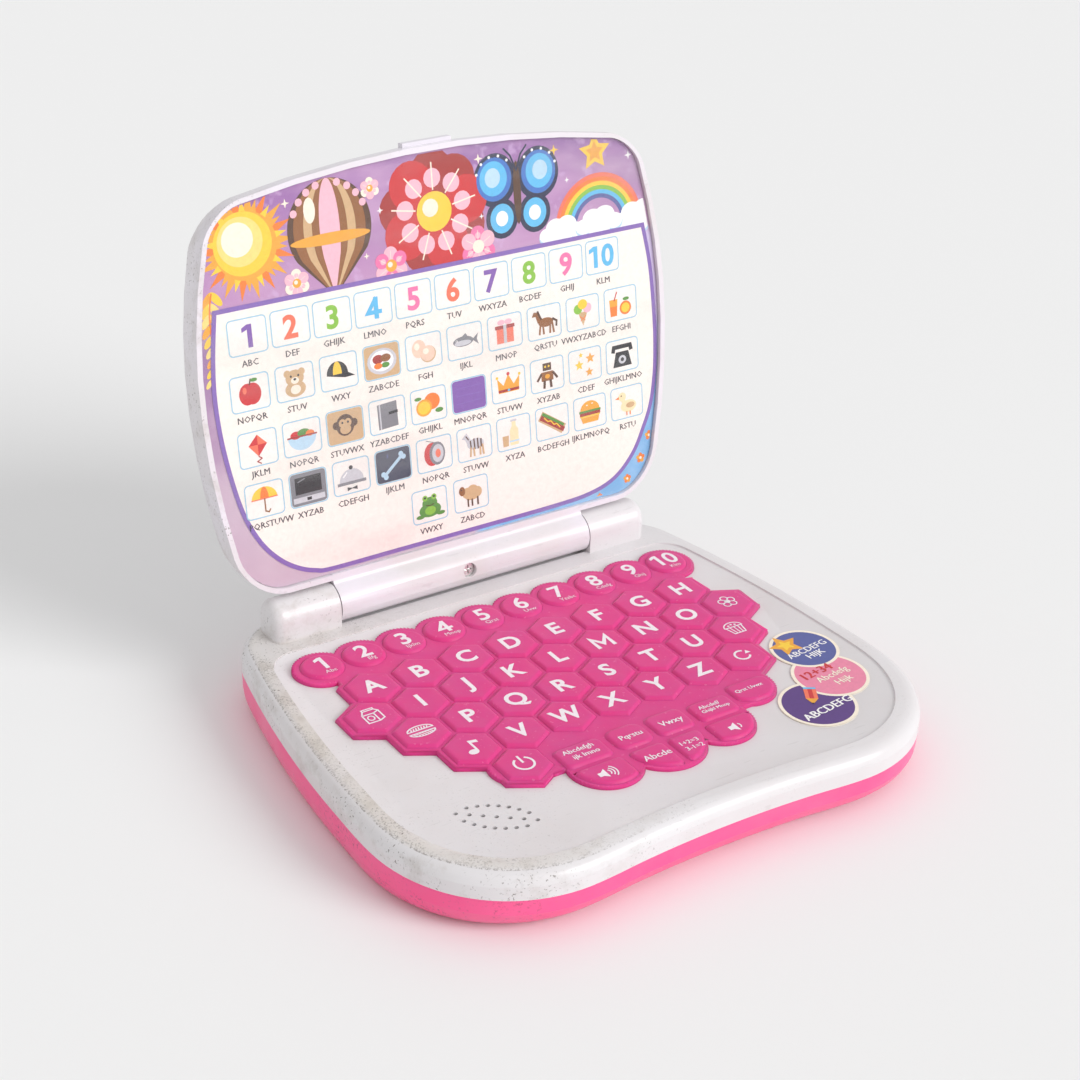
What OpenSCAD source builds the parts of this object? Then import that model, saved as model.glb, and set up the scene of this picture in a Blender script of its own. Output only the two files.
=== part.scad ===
// Toy laptop computer: a clamshell with a soft honeycomb keypad, a speaker and
// a picture card in the lid. Millimetres, +Z up, front towards -Y, origin on the
// table under the middle of the case.

/* [Case] */
// Width of the case where its sides are widest apart, before they taper
case_w = 188.4; // [184:0.2:196]
// Depth of the case along its middle
case_d = 159.2; // [155:0.2:164]
// Height of the case's rim above the table
case_h = 21.4; // [21.2:0.1:22.6]
// Height of the joint between the two halves of the case
seam_z = 12.8; // [12:0.1:13.6]
// Radius of the two back corners
back_r = 16; // [14:0.2:22]
// Radius of the two front corners
front_r = 49.8; // [46:0.2:58]
// How far the front corners bow out past the hollow in the front edge
front_bow = 11.6; // [10:0.2:16]
// How far the back edge bows out in its middle
back_bow = 0.5; // [0.5:0.1:3]
// Share of its width that the case loses from its middle to its back
side_taper = 0.075; // [0.06:0.001:0.1]
// Share of its width that the case loses towards both ends
side_belly = 0.073; // [0.05:0.001:0.08]
// Wall thickness of both halves
wall = 2.2; // [1.8:0.1:2.4]
// Thickness of the case floor
floor_t = 2.4; // [2:0.1:2.6]
// Thickness of the deck around the keys
deck_t = 2; // [1.8:0.1:2.2]
// Depth of the sunk panel that the keys and the lid lie in
panel_drop = 0.6; // [0.4:0.05:0.8]
// Distance from the case's edge to the edge of the sunk panel
panel_inset = 7.5; // [6.5:0.1:8.5]

/* [Keys] */
// Distance between the middles of two letter keys
key_pitch = 17; // [16.6:0.05:17.2]
// Distance of the first letter row behind the middle of the case
letters_y = 24.2; // [24:0.1:25.4]
// Width of a letter key across its flats
key_af = 15.6; // [15:0.05:15.7]
// Width of a letter key's top face across its flats
key_top_af = 14.3; // [13.8:0.05:14.7]
// Diameter of a number key
number_d = 13.9; // [13.2:0.05:14]
// Diameter of a number key's top face
number_top_d = 12.8; // [12.2:0.1:13]
// Height of the key tops above the soft mat
key_rise = 0.9; // [0.7:0.05:1.1]
// Height of the soft mat above the sunk deck
mat_rise = 1.3; // [1:0.05:1.4]
// Distance that a key travels
key_travel = 0.9; // [0.7:0.05:1]
// Gap around each key in its well
key_gap = 0.2; // [0.15:0.01:0.25]
// Thickness of the flange under each key and of the mat's edge
flange_t = 0.9; // [0.8:0.05:1]
// Width of soft mat around the outermost letter keys
mat_margin = 1.2; // [1:0.05:1.4]

/* [Lid] */
// Width of the lid at its widest
lid_w = 175.4; // [172:0.2:178]
// Height of the lid from its bottom edge to its top
lid_h = 134; // [130:0.2:136]
// Radius of the lid's two top corners
lid_top_r = 11.6; // [10:0.2:16]
// Radius of the lid's two bottom corners
lid_bottom_r = 15.8; // [13:0.2:20]
// How far the top edge bows up in its middle
lid_bow = 8.4; // [6:0.1:9]
// Share of its width that the lid loses towards both ends
lid_belly = 0.109; // [0.1:0.001:0.13]
// How far the lid's rim stands in front of the hinge axis
lid_front_t = 1.9; // [1.6:0.05:2.2]
// How far the lid's rim stands ahead of the clear cover
rim_proud = 1; // [0.8:0.05:1.2]
// How far the lid's domed back lies behind the hinge axis
lid_back_t = 10.2; // [9.6:0.1:10.8]
// Width of the rim around the picture card
lid_rim = 1.8; // [1.4:0.1:2.2]
// Wall thickness of the lid's back shell
lid_wall = 1.5; // [1.2:0.1:1.6]
// Thickness of the printed card
card_t = 0.4; // [0.3:0.05:0.5]
// Thickness of the clear cover
cover_t = 0.6; // [0.5:0.05:0.7]
// Angle that the open lid leans back from upright
lid_lean = 9.3; // [0:0.1:12]
// Width of the finger lip on top of the lid
lip_w = 17.8; // [15:0.2:22]
// How far the finger lip stands above the lid's top edge
lip_rise = 1.1; // [0.8:0.1:2]

/* [Hinge] */
// Distance of the hinge axis behind the first letter row
hinge_back = 44.8; // [44.6:0.1:45.6]
// Height of the hinge axis above the case's rim
hinge_rise = 5.9; // [5.6:0.05:6.2]
// Radius of the barrel on the lid
barrel_r = 6.8; // [6.5:0.05:7]
// Length of the barrel on the lid
barrel_l = 97.2; // [94:0.2:98]
// Length of each knuckle on the case
knuckle_l = 23.7; // [22:0.1:25]
// Distance from the hinge axis to the lid's bottom edge
lid_start = 7.95; // [7.3:0.05:8.4]
// Radius of the hinge pins
pin_r = 1.5; // [1.2:0.05:1.8]
// Length of each hinge pin
pin_l = 22; // [18:0.5:24]

/* [Inside] */
// Thickness of the circuit board
board_t = 1.6; // [1.4:0.05:1.7]
// Radius of the speaker
speaker_r = 13.5; // [13:0.1:13.6]
// Radius of one battery cell
cell_r = 5.2; // [5:0.05:5.25]
// Length of one battery cell
cell_l = 44.5; // [43.5:0.1:45]
// Number of battery cells
cell_count = 3; // [2:1:3]
// Thickness of the battery door
door_t = 1.4; // [1.2:0.05:1.5]
// Radius of the long case screws
screw_r = 1.4; // [1.2:0.05:1.5]
// Radius of a hole in the speaker grille
grille_r = 0.75; // [0.6:0.05:0.85]

/* [Hidden] */
$fn = 48;
LETTERS = ["a", "b", "c", "d", "e", "f", "g", "h", "i", "j", "k", "l", "m",
    "n", "o", "p", "q", "r", "s", "t", "u", "v", "w", "x", "y", "z"];
DIGITS = ["1", "2", "3", "4", "5", "6", "7", "8", "9", "10"];
HEX_EXTRAS = ["note", "repeat", "power"];

cut = 0.5;         // how far a cutting shape runs past the face it cuts
touch = 0.1;       // clearance between flat faces that only lie on each other
screw_gap = 0.05;  // radial clearance of a screw in its boss
pin_gap = 0.05;    // radial running clearance of a hinge pin

white = [0.94, 0.93, 0.95];
pink = [0.98, 0.35, 0.6];
magenta = [0.87, 0.25, 0.53];
steel = [0.72, 0.72, 0.74];

// Heights
panel_z = case_h - panel_drop;
ceiling_z = panel_z - deck_t;
web_z = panel_z + mat_rise;
key_top_z = web_z + key_rise;
foot_rise = 0.15;        // upright foot of a key above the mat, below its slope
mat_bottom_z = ceiling_z - touch - flange_t - 0.3;
key_bottom_z = mat_bottom_z - touch - flange_t;
board_z = key_bottom_z - key_travel - touch;   // top face of the board
hinge_y = letters_y + hinge_back;
hinge_z = case_h + hinge_rise;
slot_gap = 0.85;         // between the barrel and its slot in the deck
slot_floor_t = 1.4;
slot_z = hinge_z - barrel_r - slot_gap;
slot_front = sqrt(pow(barrel_r + slot_gap, 2) - pow(hinge_rise, 2));   // the slot's front edge, ahead of the axis
panel_back_y = hinge_y - barrel_r - slot_gap - 4.2;

// Key places, counted in key pitches from the middle of the first letter row
row_step = sqrt(3) / 2;
rows = [[0, 3, 10], [8, 14, 15], [15, 20, 25], [21, 25, 30]];
row_letters = [8, 7, 6, 5];
row_starts = [-3.5, -3, -2.5, -2];
row_first = [0, 8, 15, 21];
number_pitch = 0.877;
number_y = 1.07;
picture_keys = [[-4, -1], [4, -1], [-3.5, -2], [3.5, -2]];  // pitch, row
extra_keys = [[-3, -3], [3, -3], [-2.5, -4]];               // note, repeat, power
function at_key(x, row) = [x * key_pitch, letters_y + row * row_step * key_pitch];
function letter_row(i) = i < row_first[1] ? 0 : i < row_first[2] ? 1 : i < row_first[3] ? 2 : 3;
function letter_at(i) =
    let (r = letter_row(i)) at_key(row_starts[r] + i - row_first[r], -r);
function number_at(i) = [(i - 4.5) * number_pitch * key_pitch, letters_y + number_y * key_pitch];
function pitched(p) = [p[0] * key_pitch, letters_y + p[1] * key_pitch];

// Round lobes of the mat: middle and radius, in pitches
number_lobe_r = 0.57;
number_fill = 14;   // soft mat between the number keys and the first letter row
lobes = [[-2.5, -3.4, 0.62], [2.42, -3.4, 0.6], [-1.25, -4.13, 0.71], [0, -4.11, 0.82],
    [1.27, -4.1, 0.69]];
// Function keys: left, front, right, back, rounded corner, and the middle and radius of the
// disc that they are cut to, all in pitches
function_keys = [
    [-1.918, -4.012, -0.935, -3.424, 0.118, 0, -3.4, 5],
    [-0.8, -4.012, -0.035, -3.376, 0.2, 0, -3.4, 5],
    [0.071, -4.012, 0.865, -3.376, 0.141, 0, -3.4, 5],
    [0.982, -4.012, 1.876, -3.447, 0.129, 0, -3.4, 5],
    [1.988, -3.929, 2.918, -3.282, 0.141, 2.42, -3.4, 0.545],
    [-0.771, -4.888, -0.035, -4.129, 0.094, 0, -4.11, 0.765],
    [0.071, -4.888, 0.771, -4.129, 0.094, 0, -4.11, 0.765]];
volume_up_key = [-1.929, -4.788, -0.906, -4.129, 0.094, -1.25, -4.13, 0.655];
volume_down_key = [0.918, -4.788, 1.918, -4.129, 0.094, 1.27, -4.1, 0.635];

// Bosses and screws
case_screws_at = [[-62, 64], [62, 64], [-81, -38], [81, -38], [-38, -61], [38, -61]];
board_screws_at = [[-75, letters_y + 2], [75, letters_y + 2], [-66, letters_y - 50], [66, letters_y - 50]];
boss_r = 4.6;
head_r = 2.8;
head_t = 2;
head_seat_z = 7;
board_boss_r = 2.8;
board_screw_r = 1.1;
board_head_r = 2.2;
board_head_t = 1.5;

// Right half of the board's edge, heights counted from the first letter row
board_edge = [[79, 26], [79, -26], [71, -32], [71, -55], [61, -55], [54, -64], [47, -64],
    [47, -72], [30, -76], [30, -82.5]];

// Speaker, on the panel's front left
speaker_at = [30.7 - case_w / 2, letters_y - 75.5];
speaker_flange = 1.3;
speaker_ring = 1.2;      // wall around the speaker under the deck
basket_depth = 6.2;
magnet_r = 7;
magnet_t = 3.5;
grille_at = speaker_at + [1.4, 0.6];
grille_turn = -38;
grille_step = 3;
grille_mid_step = 3.9;

// Battery bay, in the middle of the floor
bay_y = letters_y - 28.7;
cell_pitch = 2 * cell_r + 0.5;
bay_l = cell_l + 8;
bay_w = cell_count * cell_pitch + 1;
bay_wall = 1.4;
bay_roof = 1.2;
cell_z = door_t + cell_r + 0.2;
bay_top_z = cell_z + cell_r + 0.2;
door_ledge = 3;
door_gap = 0.2;
door_tab = 8;

// Lid
lid_mid_v = lid_start + lid_h / 2;
tray_t = 1;              // thickness of the lid front behind the card
card_gap = 0.2;          // gap around the card and the cover
cover_front = lid_front_t - rim_proud;
card_front = cover_front - cover_t;
card_back = card_front - card_t;
lid_split = card_back - tray_t;   // parting plane of the lid's two halves
knuckle_r = barrel_r;
knuckle_gap = 0.4;
knuckle_fillet = 3.5;
barrel_wall = 2;
bearing_l = pin_l / 2 + 3;
apron_fillet = 2.5;

// Round stretches of an outline and its straight sides
arc_steps = 8;
side_steps = 7;
function corner(cx, cy, r, from) =
    [for (i = [0:arc_steps]) let (t = from + 90 * i / arc_steps) [cx + r * cos(t), cy + r * sin(t)]];
function side(p, q) = [for (i = [1:side_steps - 1]) p + (q - p) * i / side_steps];
// Rectangle from (-a, y0) to (a, y1) with round corners, its sides cut into steps
function rounded(a, y0, y1, r0, r1) =
    let (
        c1 = corner(a - r1, y1 - r1, r1, 0),
        c2 = corner(-a + r1, y1 - r1, r1, 90),
        c3 = corner(-a + r0, y0 + r0, r0, 180),
        c4 = corner(a - r0, y0 + r0, r0, 270))
    concat(c1, side(c1[arc_steps], c2[0]), c2, side(c2[arc_steps], c3[0]),
        c3, side(c3[arc_steps], c4[0]), c4, side(c4[arc_steps], c1[0]));

// The case's outline, pulled in by its own amount at the sides, front and back
function case_warp(p) =
    let (w = p[1] / (case_d / 2), u = p[0] / (case_w / 2))
    [p[0] * (1 - side_taper * w - side_belly * w * w),
        p[1] + (w < 0 ? front_bow : -back_bow) * w * u * u];
function case_ring(at_side, at_front, y_back, r_back) =
    [for (p = rounded(case_w / 2 - at_side, at_front - case_d / 2, y_back,
            max(front_r - at_side, 4), max(r_back, 2))) case_warp(p)];
function even_ring(inset) = case_ring(inset, inset, case_d / 2 - inset, back_r - inset);

// The lid's outline, seen from the front, heights counted from the hinge axis
function lid_ring(at_side, at_end) =
    [for (p = rounded(lid_w / 2 - at_side, at_end - lid_h / 2, lid_h / 2 - at_end,
            lid_bottom_r - at_side, lid_top_r - at_side))
        let (w = p[1] / (lid_h / 2), u = p[0] / (lid_w / 2))
        [p[0] * (1 - lid_belly * w * w), p[1] - (w > 0 ? lid_bow * w * u * u : 0) + lid_mid_v]];

// Closed skin over rings of equal length, each a list of points and its height
module skin(rings) {
    n = len(rings[0][0]);
    points = [for (r = rings) for (p = r[0]) [p[0], p[1], r[1]]];
    last = (len(rings) - 1) * n;
    polyhedron(points, concat(
        [[for (i = [0:n - 1]) i]],
        [for (k = [0:len(rings) - 2]) for (i = [0:n - 1])
            let (a = k * n + i, b = k * n + (i + 1) % n) [a, a + n, b + n, b]],
        [[for (i = [n - 1:-1:0]) last + i]]), convexity = 6);
}

// Outer skins: [pulled in at the sides, pulled in at the front and back, height]
bottom_profile = [[5.2, 10, 0], [2.6, 6.4, 0.9], [1.1, 3.6, 2.4], [0.3, 1.5, 4.8], [0, 0.3, 7.6]];
top_profile = [[0, 17.2], [0.5, 19], [1.5, 20.3], [3, 21.1], [4.8, 21.4]];
hollow_profile = [[3.3, 6.2, floor_t], [2.6, 4, 4.6], [2.3, 2.8, 7.6]];
function tucked_ring(p, grow) =
    case_ring(p[0] + grow, p[1] + grow, case_d / 2 - p[1] - grow, back_r - p[0] - grow);
module bottom_solid() {
    skin(concat([for (p = bottom_profile) [tucked_ring(p, 0), p[2]]], [[even_ring(0), seam_z]]));
}
module bottom_hollow() {
    skin(concat([for (p = hollow_profile) [tucked_ring(p, wall - 2.2), p[2]]],
        [[even_ring(wall), seam_z + cut]]));
}
module top_solid() {
    skin(concat([[even_ring(0), seam_z]],
        [for (p = top_profile) [even_ring(p[0]), p[1] + case_h - 21.4]]));
}
module top_hollow() {
    skin([[even_ring(wall), seam_z - cut], [even_ring(wall), ceiling_z - 2.4],
        [even_ring(wall + 0.8), ceiling_z - 0.8], [even_ring(wall + 2.4), ceiling_z]]);
}

// Flat shapes of the keypad
module hexagon(af) {
    rotate(30) circle(r = af / 2 / cos(30), $fn = 6);
}
module round_block(k, grow = 0) {
    x0 = k[0] * key_pitch - grow;
    x1 = k[2] * key_pitch + grow;
    y0 = letters_y + k[1] * key_pitch - grow;
    y1 = letters_y + k[3] * key_pitch + grow;
    r = k[4] * key_pitch;
    intersection() {
        union() {
            translate([x0 + r, y0]) square([x1 - x0 - 2 * r, y1 - y0]);
            translate([x0, y0 + r]) square([x1 - x0, y1 - y0 - 2 * r]);
            for (x = [x0 + r, x1 - r])
                for (y = [y0 + r, y1 - r]) translate([x, y]) circle(r);
        }
        translate(pitched([k[5], k[6]])) circle(k[7] * key_pitch + grow);
    }
}
// Outline of the soft mat where it fills the window in the deck
module mat_shape(grow = 0) {
    af = key_pitch + 2 * mat_margin + 2 * grow;
    for (i = [0:25]) translate(letter_at(i)) hexagon(af);
    for (p = concat(picture_keys, extra_keys)) translate(at_key(p[0], p[1])) hexagon(af);
    for (i = [0:9]) translate(number_at(i)) circle(number_lobe_r * key_pitch + grow);
    translate(number_at(0)) translate([0, -number_fill]) square([9 * number_pitch * key_pitch, number_fill + 2]);
    for (l = lobes) translate(pitched(l)) circle(l[2] * key_pitch + grow);
    translate([-2.2 * key_pitch, letters_y - 3.95 * key_pitch])
        square([4.4 * key_pitch, 1.45 * key_pitch]);
}

module at_all(places) {
    for (p = places) translate(p) children();
}

module bottom_case() {
    color(pink) difference() {
        union() {
            difference() {
                bottom_solid();
                bottom_hollow();
            }
            intersection() {
                bottom_solid();
                at_all(case_screws_at) cylinder(r = boss_r, h = seam_z);
            }
            // battery bay
            translate([-bay_l / 2 - bay_wall, bay_y - bay_w / 2 - bay_wall, floor_t - 0.2])
                cube([bay_l + 2 * bay_wall, bay_w + 2 * bay_wall, bay_top_z + bay_roof - floor_t + 0.2]);
            translate([0, bay_y - bay_w / 2 - door_tab / 2 - 1, 1]) cylinder(r = 3.2, h = 7);
        }
        at_all(case_screws_at) {
            translate([0, 0, -cut]) cylinder(r = head_r + 0.3, h = head_seat_z + cut);
            cylinder(r = screw_r + 0.2, h = seam_z + cut);
        }
        translate([-bay_l / 2, bay_y - bay_w / 2, -cut])
            cube([bay_l, bay_w, bay_top_z + cut]);
        door_shape(door_t, door_gap);
        translate([0, bay_y - bay_w / 2 - door_tab / 2 - 1, 0])
            cylinder(r = board_screw_r + screw_gap, h = 7);
    }
}

// The door's plate, or the space for it with a gap around it
module door_shape(h, gap = 0) {
    x = bay_l / 2 + door_ledge + gap;
    y0 = bay_y - bay_w / 2 - door_tab - gap;
    y1 = bay_y + bay_w / 2 + door_ledge + gap;
    translate([-x, y0, gap > 0 ? -cut : 0]) cube([2 * x, y1 - y0, h + (gap > 0 ? cut : 0)]);
}

module battery_door() {
    color(pink) difference() {
        door_shape(door_t - touch);
        translate([0, bay_y - bay_w / 2 - door_tab / 2 - 1, -cut]) {
            cylinder(r = board_screw_r + 0.2, h = door_t + 2 * cut);
            cylinder(r = board_head_r + 0.2, h = 0.7 + cut);
        }
    }
}

// Turned end with a rounded outer edge, and the foot that carries it
module knuckle() {
    outer = barrel_l / 2 + knuckle_gap + knuckle_l;
    inner = barrel_l / 2 + knuckle_gap;
    translate([0, hinge_y, hinge_z]) rotate([0, 90, 0]) {
        translate([0, 0, inner]) cylinder(r = knuckle_r, h = knuckle_l - knuckle_fillet);
        translate([0, 0, outer - knuckle_fillet]) rotate_extrude() {
            square([knuckle_r - knuckle_fillet, knuckle_fillet]);
            intersection() {
                translate([knuckle_r - knuckle_fillet, 0]) circle(knuckle_fillet);
                square([knuckle_r, knuckle_fillet]);
            }
        }
    }
    translate([inner, hinge_y - knuckle_r, ceiling_z]) linear_extrude(hinge_z - ceiling_z) {
        square([knuckle_l - knuckle_fillet, 2 * knuckle_r]);
        translate([0, knuckle_fillet]) square([knuckle_l, 2 * (knuckle_r - knuckle_fillet)]);
        for (y = [knuckle_fillet, 2 * knuckle_r - knuckle_fillet])
            translate([knuckle_l - knuckle_fillet, y]) circle(knuckle_fillet);
    }
}

module top_case() {
    color(white) difference() {
        union() {
            difference() {
                top_solid();
                top_hollow();
                // sunk panel
                skin([[case_ring(panel_inset, panel_inset, panel_back_y, back_r - panel_inset), panel_z],
                    [case_ring(panel_inset - 0.4, panel_inset - 0.4, panel_back_y, back_r - panel_inset),
                        case_h + cut]]);
            }
            // floor of the slot under the lid's barrel
            intersection() {
                top_solid();
                translate([-barrel_l / 2 - 2, hinge_y - barrel_r - slot_gap - 1.6, slot_z - slot_floor_t])
                    cube([barrel_l + 4, 2 * barrel_r + 2 * slot_gap + 3.2, slot_floor_t + 2]);
            }
            intersection() {
                union() {
                    knuckle();
                    mirror([1, 0, 0]) knuckle();
                }
                // knuckles keep inside the back of the case
                linear_extrude(3 * case_h) polygon(even_ring(1));
            }
            at_all(case_screws_at) translate([0, 0, seam_z]) cylinder(r = boss_r, h = ceiling_z - seam_z + 0.2);
            at_all(board_screws_at) translate([0, 0, board_z]) cylinder(r = board_boss_r, h = ceiling_z - board_z + 0.2);
            translate([speaker_at[0], speaker_at[1], ceiling_z - 3]) difference() {
                cylinder(r = speaker_r + speaker_ring, h = 3.2);
                translate([0, 0, -cut]) cylinder(r = speaker_r + 0.2, h = 3 + cut);
            }
        }
        // barrel's slot, window for the mat, grille, screws and pins
        translate([-barrel_l / 2 - knuckle_gap, hinge_y - slot_front, slot_z])
            cube([barrel_l + 2 * knuckle_gap, slot_front + barrel_r + slot_gap, hinge_z]);
        translate([0, hinge_y, hinge_z]) rotate([0, 90, 0])
            cylinder(r = barrel_r + slot_gap, h = barrel_l + 2 * knuckle_gap, center = true);
        translate([0, 0, ceiling_z - cut]) linear_extrude(deck_t + 2 * cut) mat_shape(touch);
        for (p = grille_holes()) translate([p[0], p[1], ceiling_z - cut]) cylinder(r = grille_r, h = deck_t + 2 * cut, $fn = 24);
        at_all(case_screws_at) translate([0, 0, seam_z - cut]) cylinder(r = screw_r + screw_gap, h = 4.6 + cut);
        at_all(board_screws_at) translate([0, 0, board_z - cut]) cylinder(r = board_screw_r + screw_gap, h = 3 + cut);
        for (s = [-1, 1]) translate([s * (barrel_l / 2 + knuckle_gap + pin_l / 4), hinge_y, hinge_z])
            rotate([0, 90, 0]) cylinder(r = pin_r, h = pin_l / 2 + 2 * knuckle_gap, center = true);
    }
}

function grille_holes() =
    let (c = cos(grille_turn), s = sin(grille_turn))
    [for (p = concat(
            [for (k = [-3:3]) for (v = [-1, 1]) [k * grille_step, v * (3.2 + 2.2 * (1 - k * k / 9))]],
            [for (k = [-3:3]) [k * grille_mid_step, 0]]))
        grille_at + [c * p[0] - s * p[1], s * p[0] + c * p[1]]];

module keypad_mat() {
    color(magenta) {
        difference() {
            union() {
                translate([0, 0, mat_bottom_z]) linear_extrude(ceiling_z - touch - mat_bottom_z)
                    difference() {
                        mat_shape(1.6);
                        translate(speaker_at) circle(speaker_r + speaker_ring + 0.4);
                    }
                translate([0, 0, mat_bottom_z]) linear_extrude(web_z - mat_bottom_z) mat_shape();
                for (p = picture_keys) translate(at_key(p[0], p[1])) hex_top(web_z - 0.2);
                for (k = function_keys) {
                    translate([0, 0, web_z - 0.2]) linear_extrude(key_rise * 0.6 + 0.2) round_block(k);
                    translate([0, 0, web_z]) linear_extrude(key_rise) round_block(k, -0.6);
                }
            }
            for (i = [0:25]) translate(letter_at(i)) hex_well();
            for (p = extra_keys) translate(at_key(p[0], p[1])) hex_well();
            for (i = [0:9]) translate(number_at(i)) translate([0, 0, mat_bottom_z - cut])
                cylinder(d = number_d + 2 * key_gap, h = web_z - mat_bottom_z + 2 * cut);
            for (k = [volume_up_key, volume_down_key]) translate([0, 0, mat_bottom_z - cut])
                linear_extrude(web_z - mat_bottom_z + 2 * cut) round_block(k, key_gap);
        }
    }
}
module hex_well() {
    translate([0, 0, mat_bottom_z - cut]) linear_extrude(web_z - mat_bottom_z + 2 * cut)
        hexagon(key_af + 2 * key_gap);
}
// Sloping top of a letter key, from a height up to the key's top face
module hex_top(from) {
    translate([0, 0, from]) linear_extrude(web_z + foot_rise - from) hexagon(key_af);
    translate([0, 0, web_z + foot_rise]) rotate(30)
        cylinder(r1 = key_af / 2 / cos(30), r2 = key_top_af / 2 / cos(30), h = key_rise - foot_rise, $fn = 6);
}

// Keys that travel: a cap in its well and a flange under the mat
module hex_key(at) {
    color(magenta) translate(at) {
        translate([0, 0, key_bottom_z]) linear_extrude(flange_t) hexagon(key_af + 0.8);
        hex_top(key_bottom_z);
    }
}
module number_key(i) {
    color(magenta) translate(number_at(i)) {
        translate([0, 0, key_bottom_z]) cylinder(d = number_d + 0.9, h = flange_t);
        translate([0, 0, key_bottom_z]) cylinder(d = number_d, h = web_z + foot_rise - key_bottom_z);
        translate([0, 0, web_z + foot_rise]) cylinder(d1 = number_d, d2 = number_top_d, h = key_rise - foot_rise);
    }
}
module block_key(k) {
    color(magenta) {
        translate([0, 0, key_bottom_z]) linear_extrude(flange_t) round_block(k, 0.4);
        translate([0, 0, key_bottom_z]) linear_extrude(web_z + key_rise * 0.6 - key_bottom_z) round_block(k);
        translate([0, 0, web_z]) linear_extrude(key_rise) round_block(k, -0.6);
    }
}

module circuit_board() {
    color([0.2, 0.45, 0.25]) translate([0, 0, board_z - board_t]) linear_extrude(board_t) difference() {
        polygon([for (s = [1, -1]) each [for (p = s > 0 ? board_edge : [for (i = [len(board_edge) - 1:-1:0]) board_edge[i]])
            [s * p[0], letters_y + p[1]]]]);
        at_all(board_screws_at) circle(board_screw_r + 0.2);
    }
}

module board_parts() {
    z = board_z - board_t;
    color([0.12, 0.12, 0.13]) {
        // bonded chip, resonator and capacitors under the board
        translate([46, letters_y - 30, z - 1.6]) {
            cylinder(r = 6, h = 0.8);
            translate([0, 0, 0.8]) cylinder(r = 7, h = 0.8);
        }
        for (x = [36, 42, 48]) translate([x, letters_y - 10, z - 2.2]) cylinder(r = 2, h = 2.2);
        translate([-48, letters_y - 30, z - 1.8]) cube([7, 4, 1.8]);
        translate([-40, letters_y - 8, z - 1.2]) cube([4, 8, 1.2]);
    }
}

module speaker_basket() {
    top = ceiling_z;
    color(steel) translate([speaker_at[0], speaker_at[1], 0]) {
        rotate_extrude() polygon([[0, top - basket_depth - 1], [magnet_r + 1, top - basket_depth - 1],
            [speaker_r - 1.6, top - speaker_flange - 0.6], [speaker_r, top - speaker_flange - 0.6],
            [speaker_r, top], [speaker_r - 1.4, top], [speaker_r - 1.4, top - speaker_flange],
            [magnet_r, top - basket_depth], [0, top - basket_depth]]);
        translate([0, 0, top - basket_depth - 1 - magnet_t]) cylinder(r = magnet_r, h = magnet_t);
    }
}
module speaker_cone() {
    top = ceiling_z - speaker_flange;
    r = speaker_r - 1.7;
    color([0.25, 0.24, 0.22]) translate([speaker_at[0], speaker_at[1], 0]) rotate_extrude()
        polygon([[0, top - 2.2], [3, top - 2.8], [r - 1, top + 0.3], [r, top + 0.1], [r, top + 0.6],
            [r - 1.2, top + 0.8], [3, top - 2.2], [0, top - 1.4]]);
}

module at_cells() {
    for (i = [0:cell_count - 1])
        translate([0, bay_y + (i - (cell_count - 1) / 2) * cell_pitch, cell_z]) rotate([0, 0, i % 2 * 180]) children();
}
module batteries() {
    color([0.75, 0.6, 0.2]) at_cells() rotate([0, 90, 0]) {
        cylinder(r = cell_r, h = cell_l - 1, center = true);
        translate([0, 0, cell_l / 2 - 0.6]) cylinder(r = 1.9, h = 0.6);
        translate([0, 0, -cell_l / 2]) cylinder(r = 3.4, h = 0.6);
    }
}
module battery_contacts() {
    reach = (bay_l - cell_l) / 2;
    color(steel) at_cells() {
        for (s = [-1, 1]) translate([s * (bay_l / 2 - 0.25), 0, 0]) cube([0.5, 9, 8.4], center = true);
        translate([cell_l / 2 + touch, 0, 0]) rotate([0, 90, 0]) cylinder(r = 2.2, h = reach - 0.4 - touch);
        translate([-bay_l / 2 + 0.4, 0, 0]) rotate([0, 90, 0]) cylinder(r1 = 3.6, r2 = 2.4, h = reach - 0.4 - touch);
    }
}

module screw(r, head, head_h, length) {
    // head down, tip up, a cross recess in the head
    difference() {
        union() {
            translate([0, 0, -head_h]) cylinder(r = head, h = head_h);
            translate([0, 0, -0.2]) cylinder(r = r, h = length + 0.2);
        }
        for (a = [0, 90]) rotate(a) translate([-head * 0.6, -0.3, -head_h - cut]) cube([head * 1.2, 0.6, 0.6 + cut]);
    }
}
module case_screws() {
    color(steel) {
        at_all(case_screws_at) translate([0, 0, head_seat_z]) screw(screw_r, head_r, head_t, 9.6);
        at_all(board_screws_at) translate([0, 0, board_z - board_t])
            screw(board_screw_r, board_head_r, board_head_t, board_t + 2.8);
        translate([0, bay_y - bay_w / 2 - door_tab / 2 - 1, 0.7]) screw(board_screw_r, board_head_r, 0.7, 5.6);
    }
}

// Round-sectioned lead through a list of points
lead_sides = 8;
lead_gap = 0.2;   // between a lead's end and the board
function unit(v) = v / norm(v);
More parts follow.
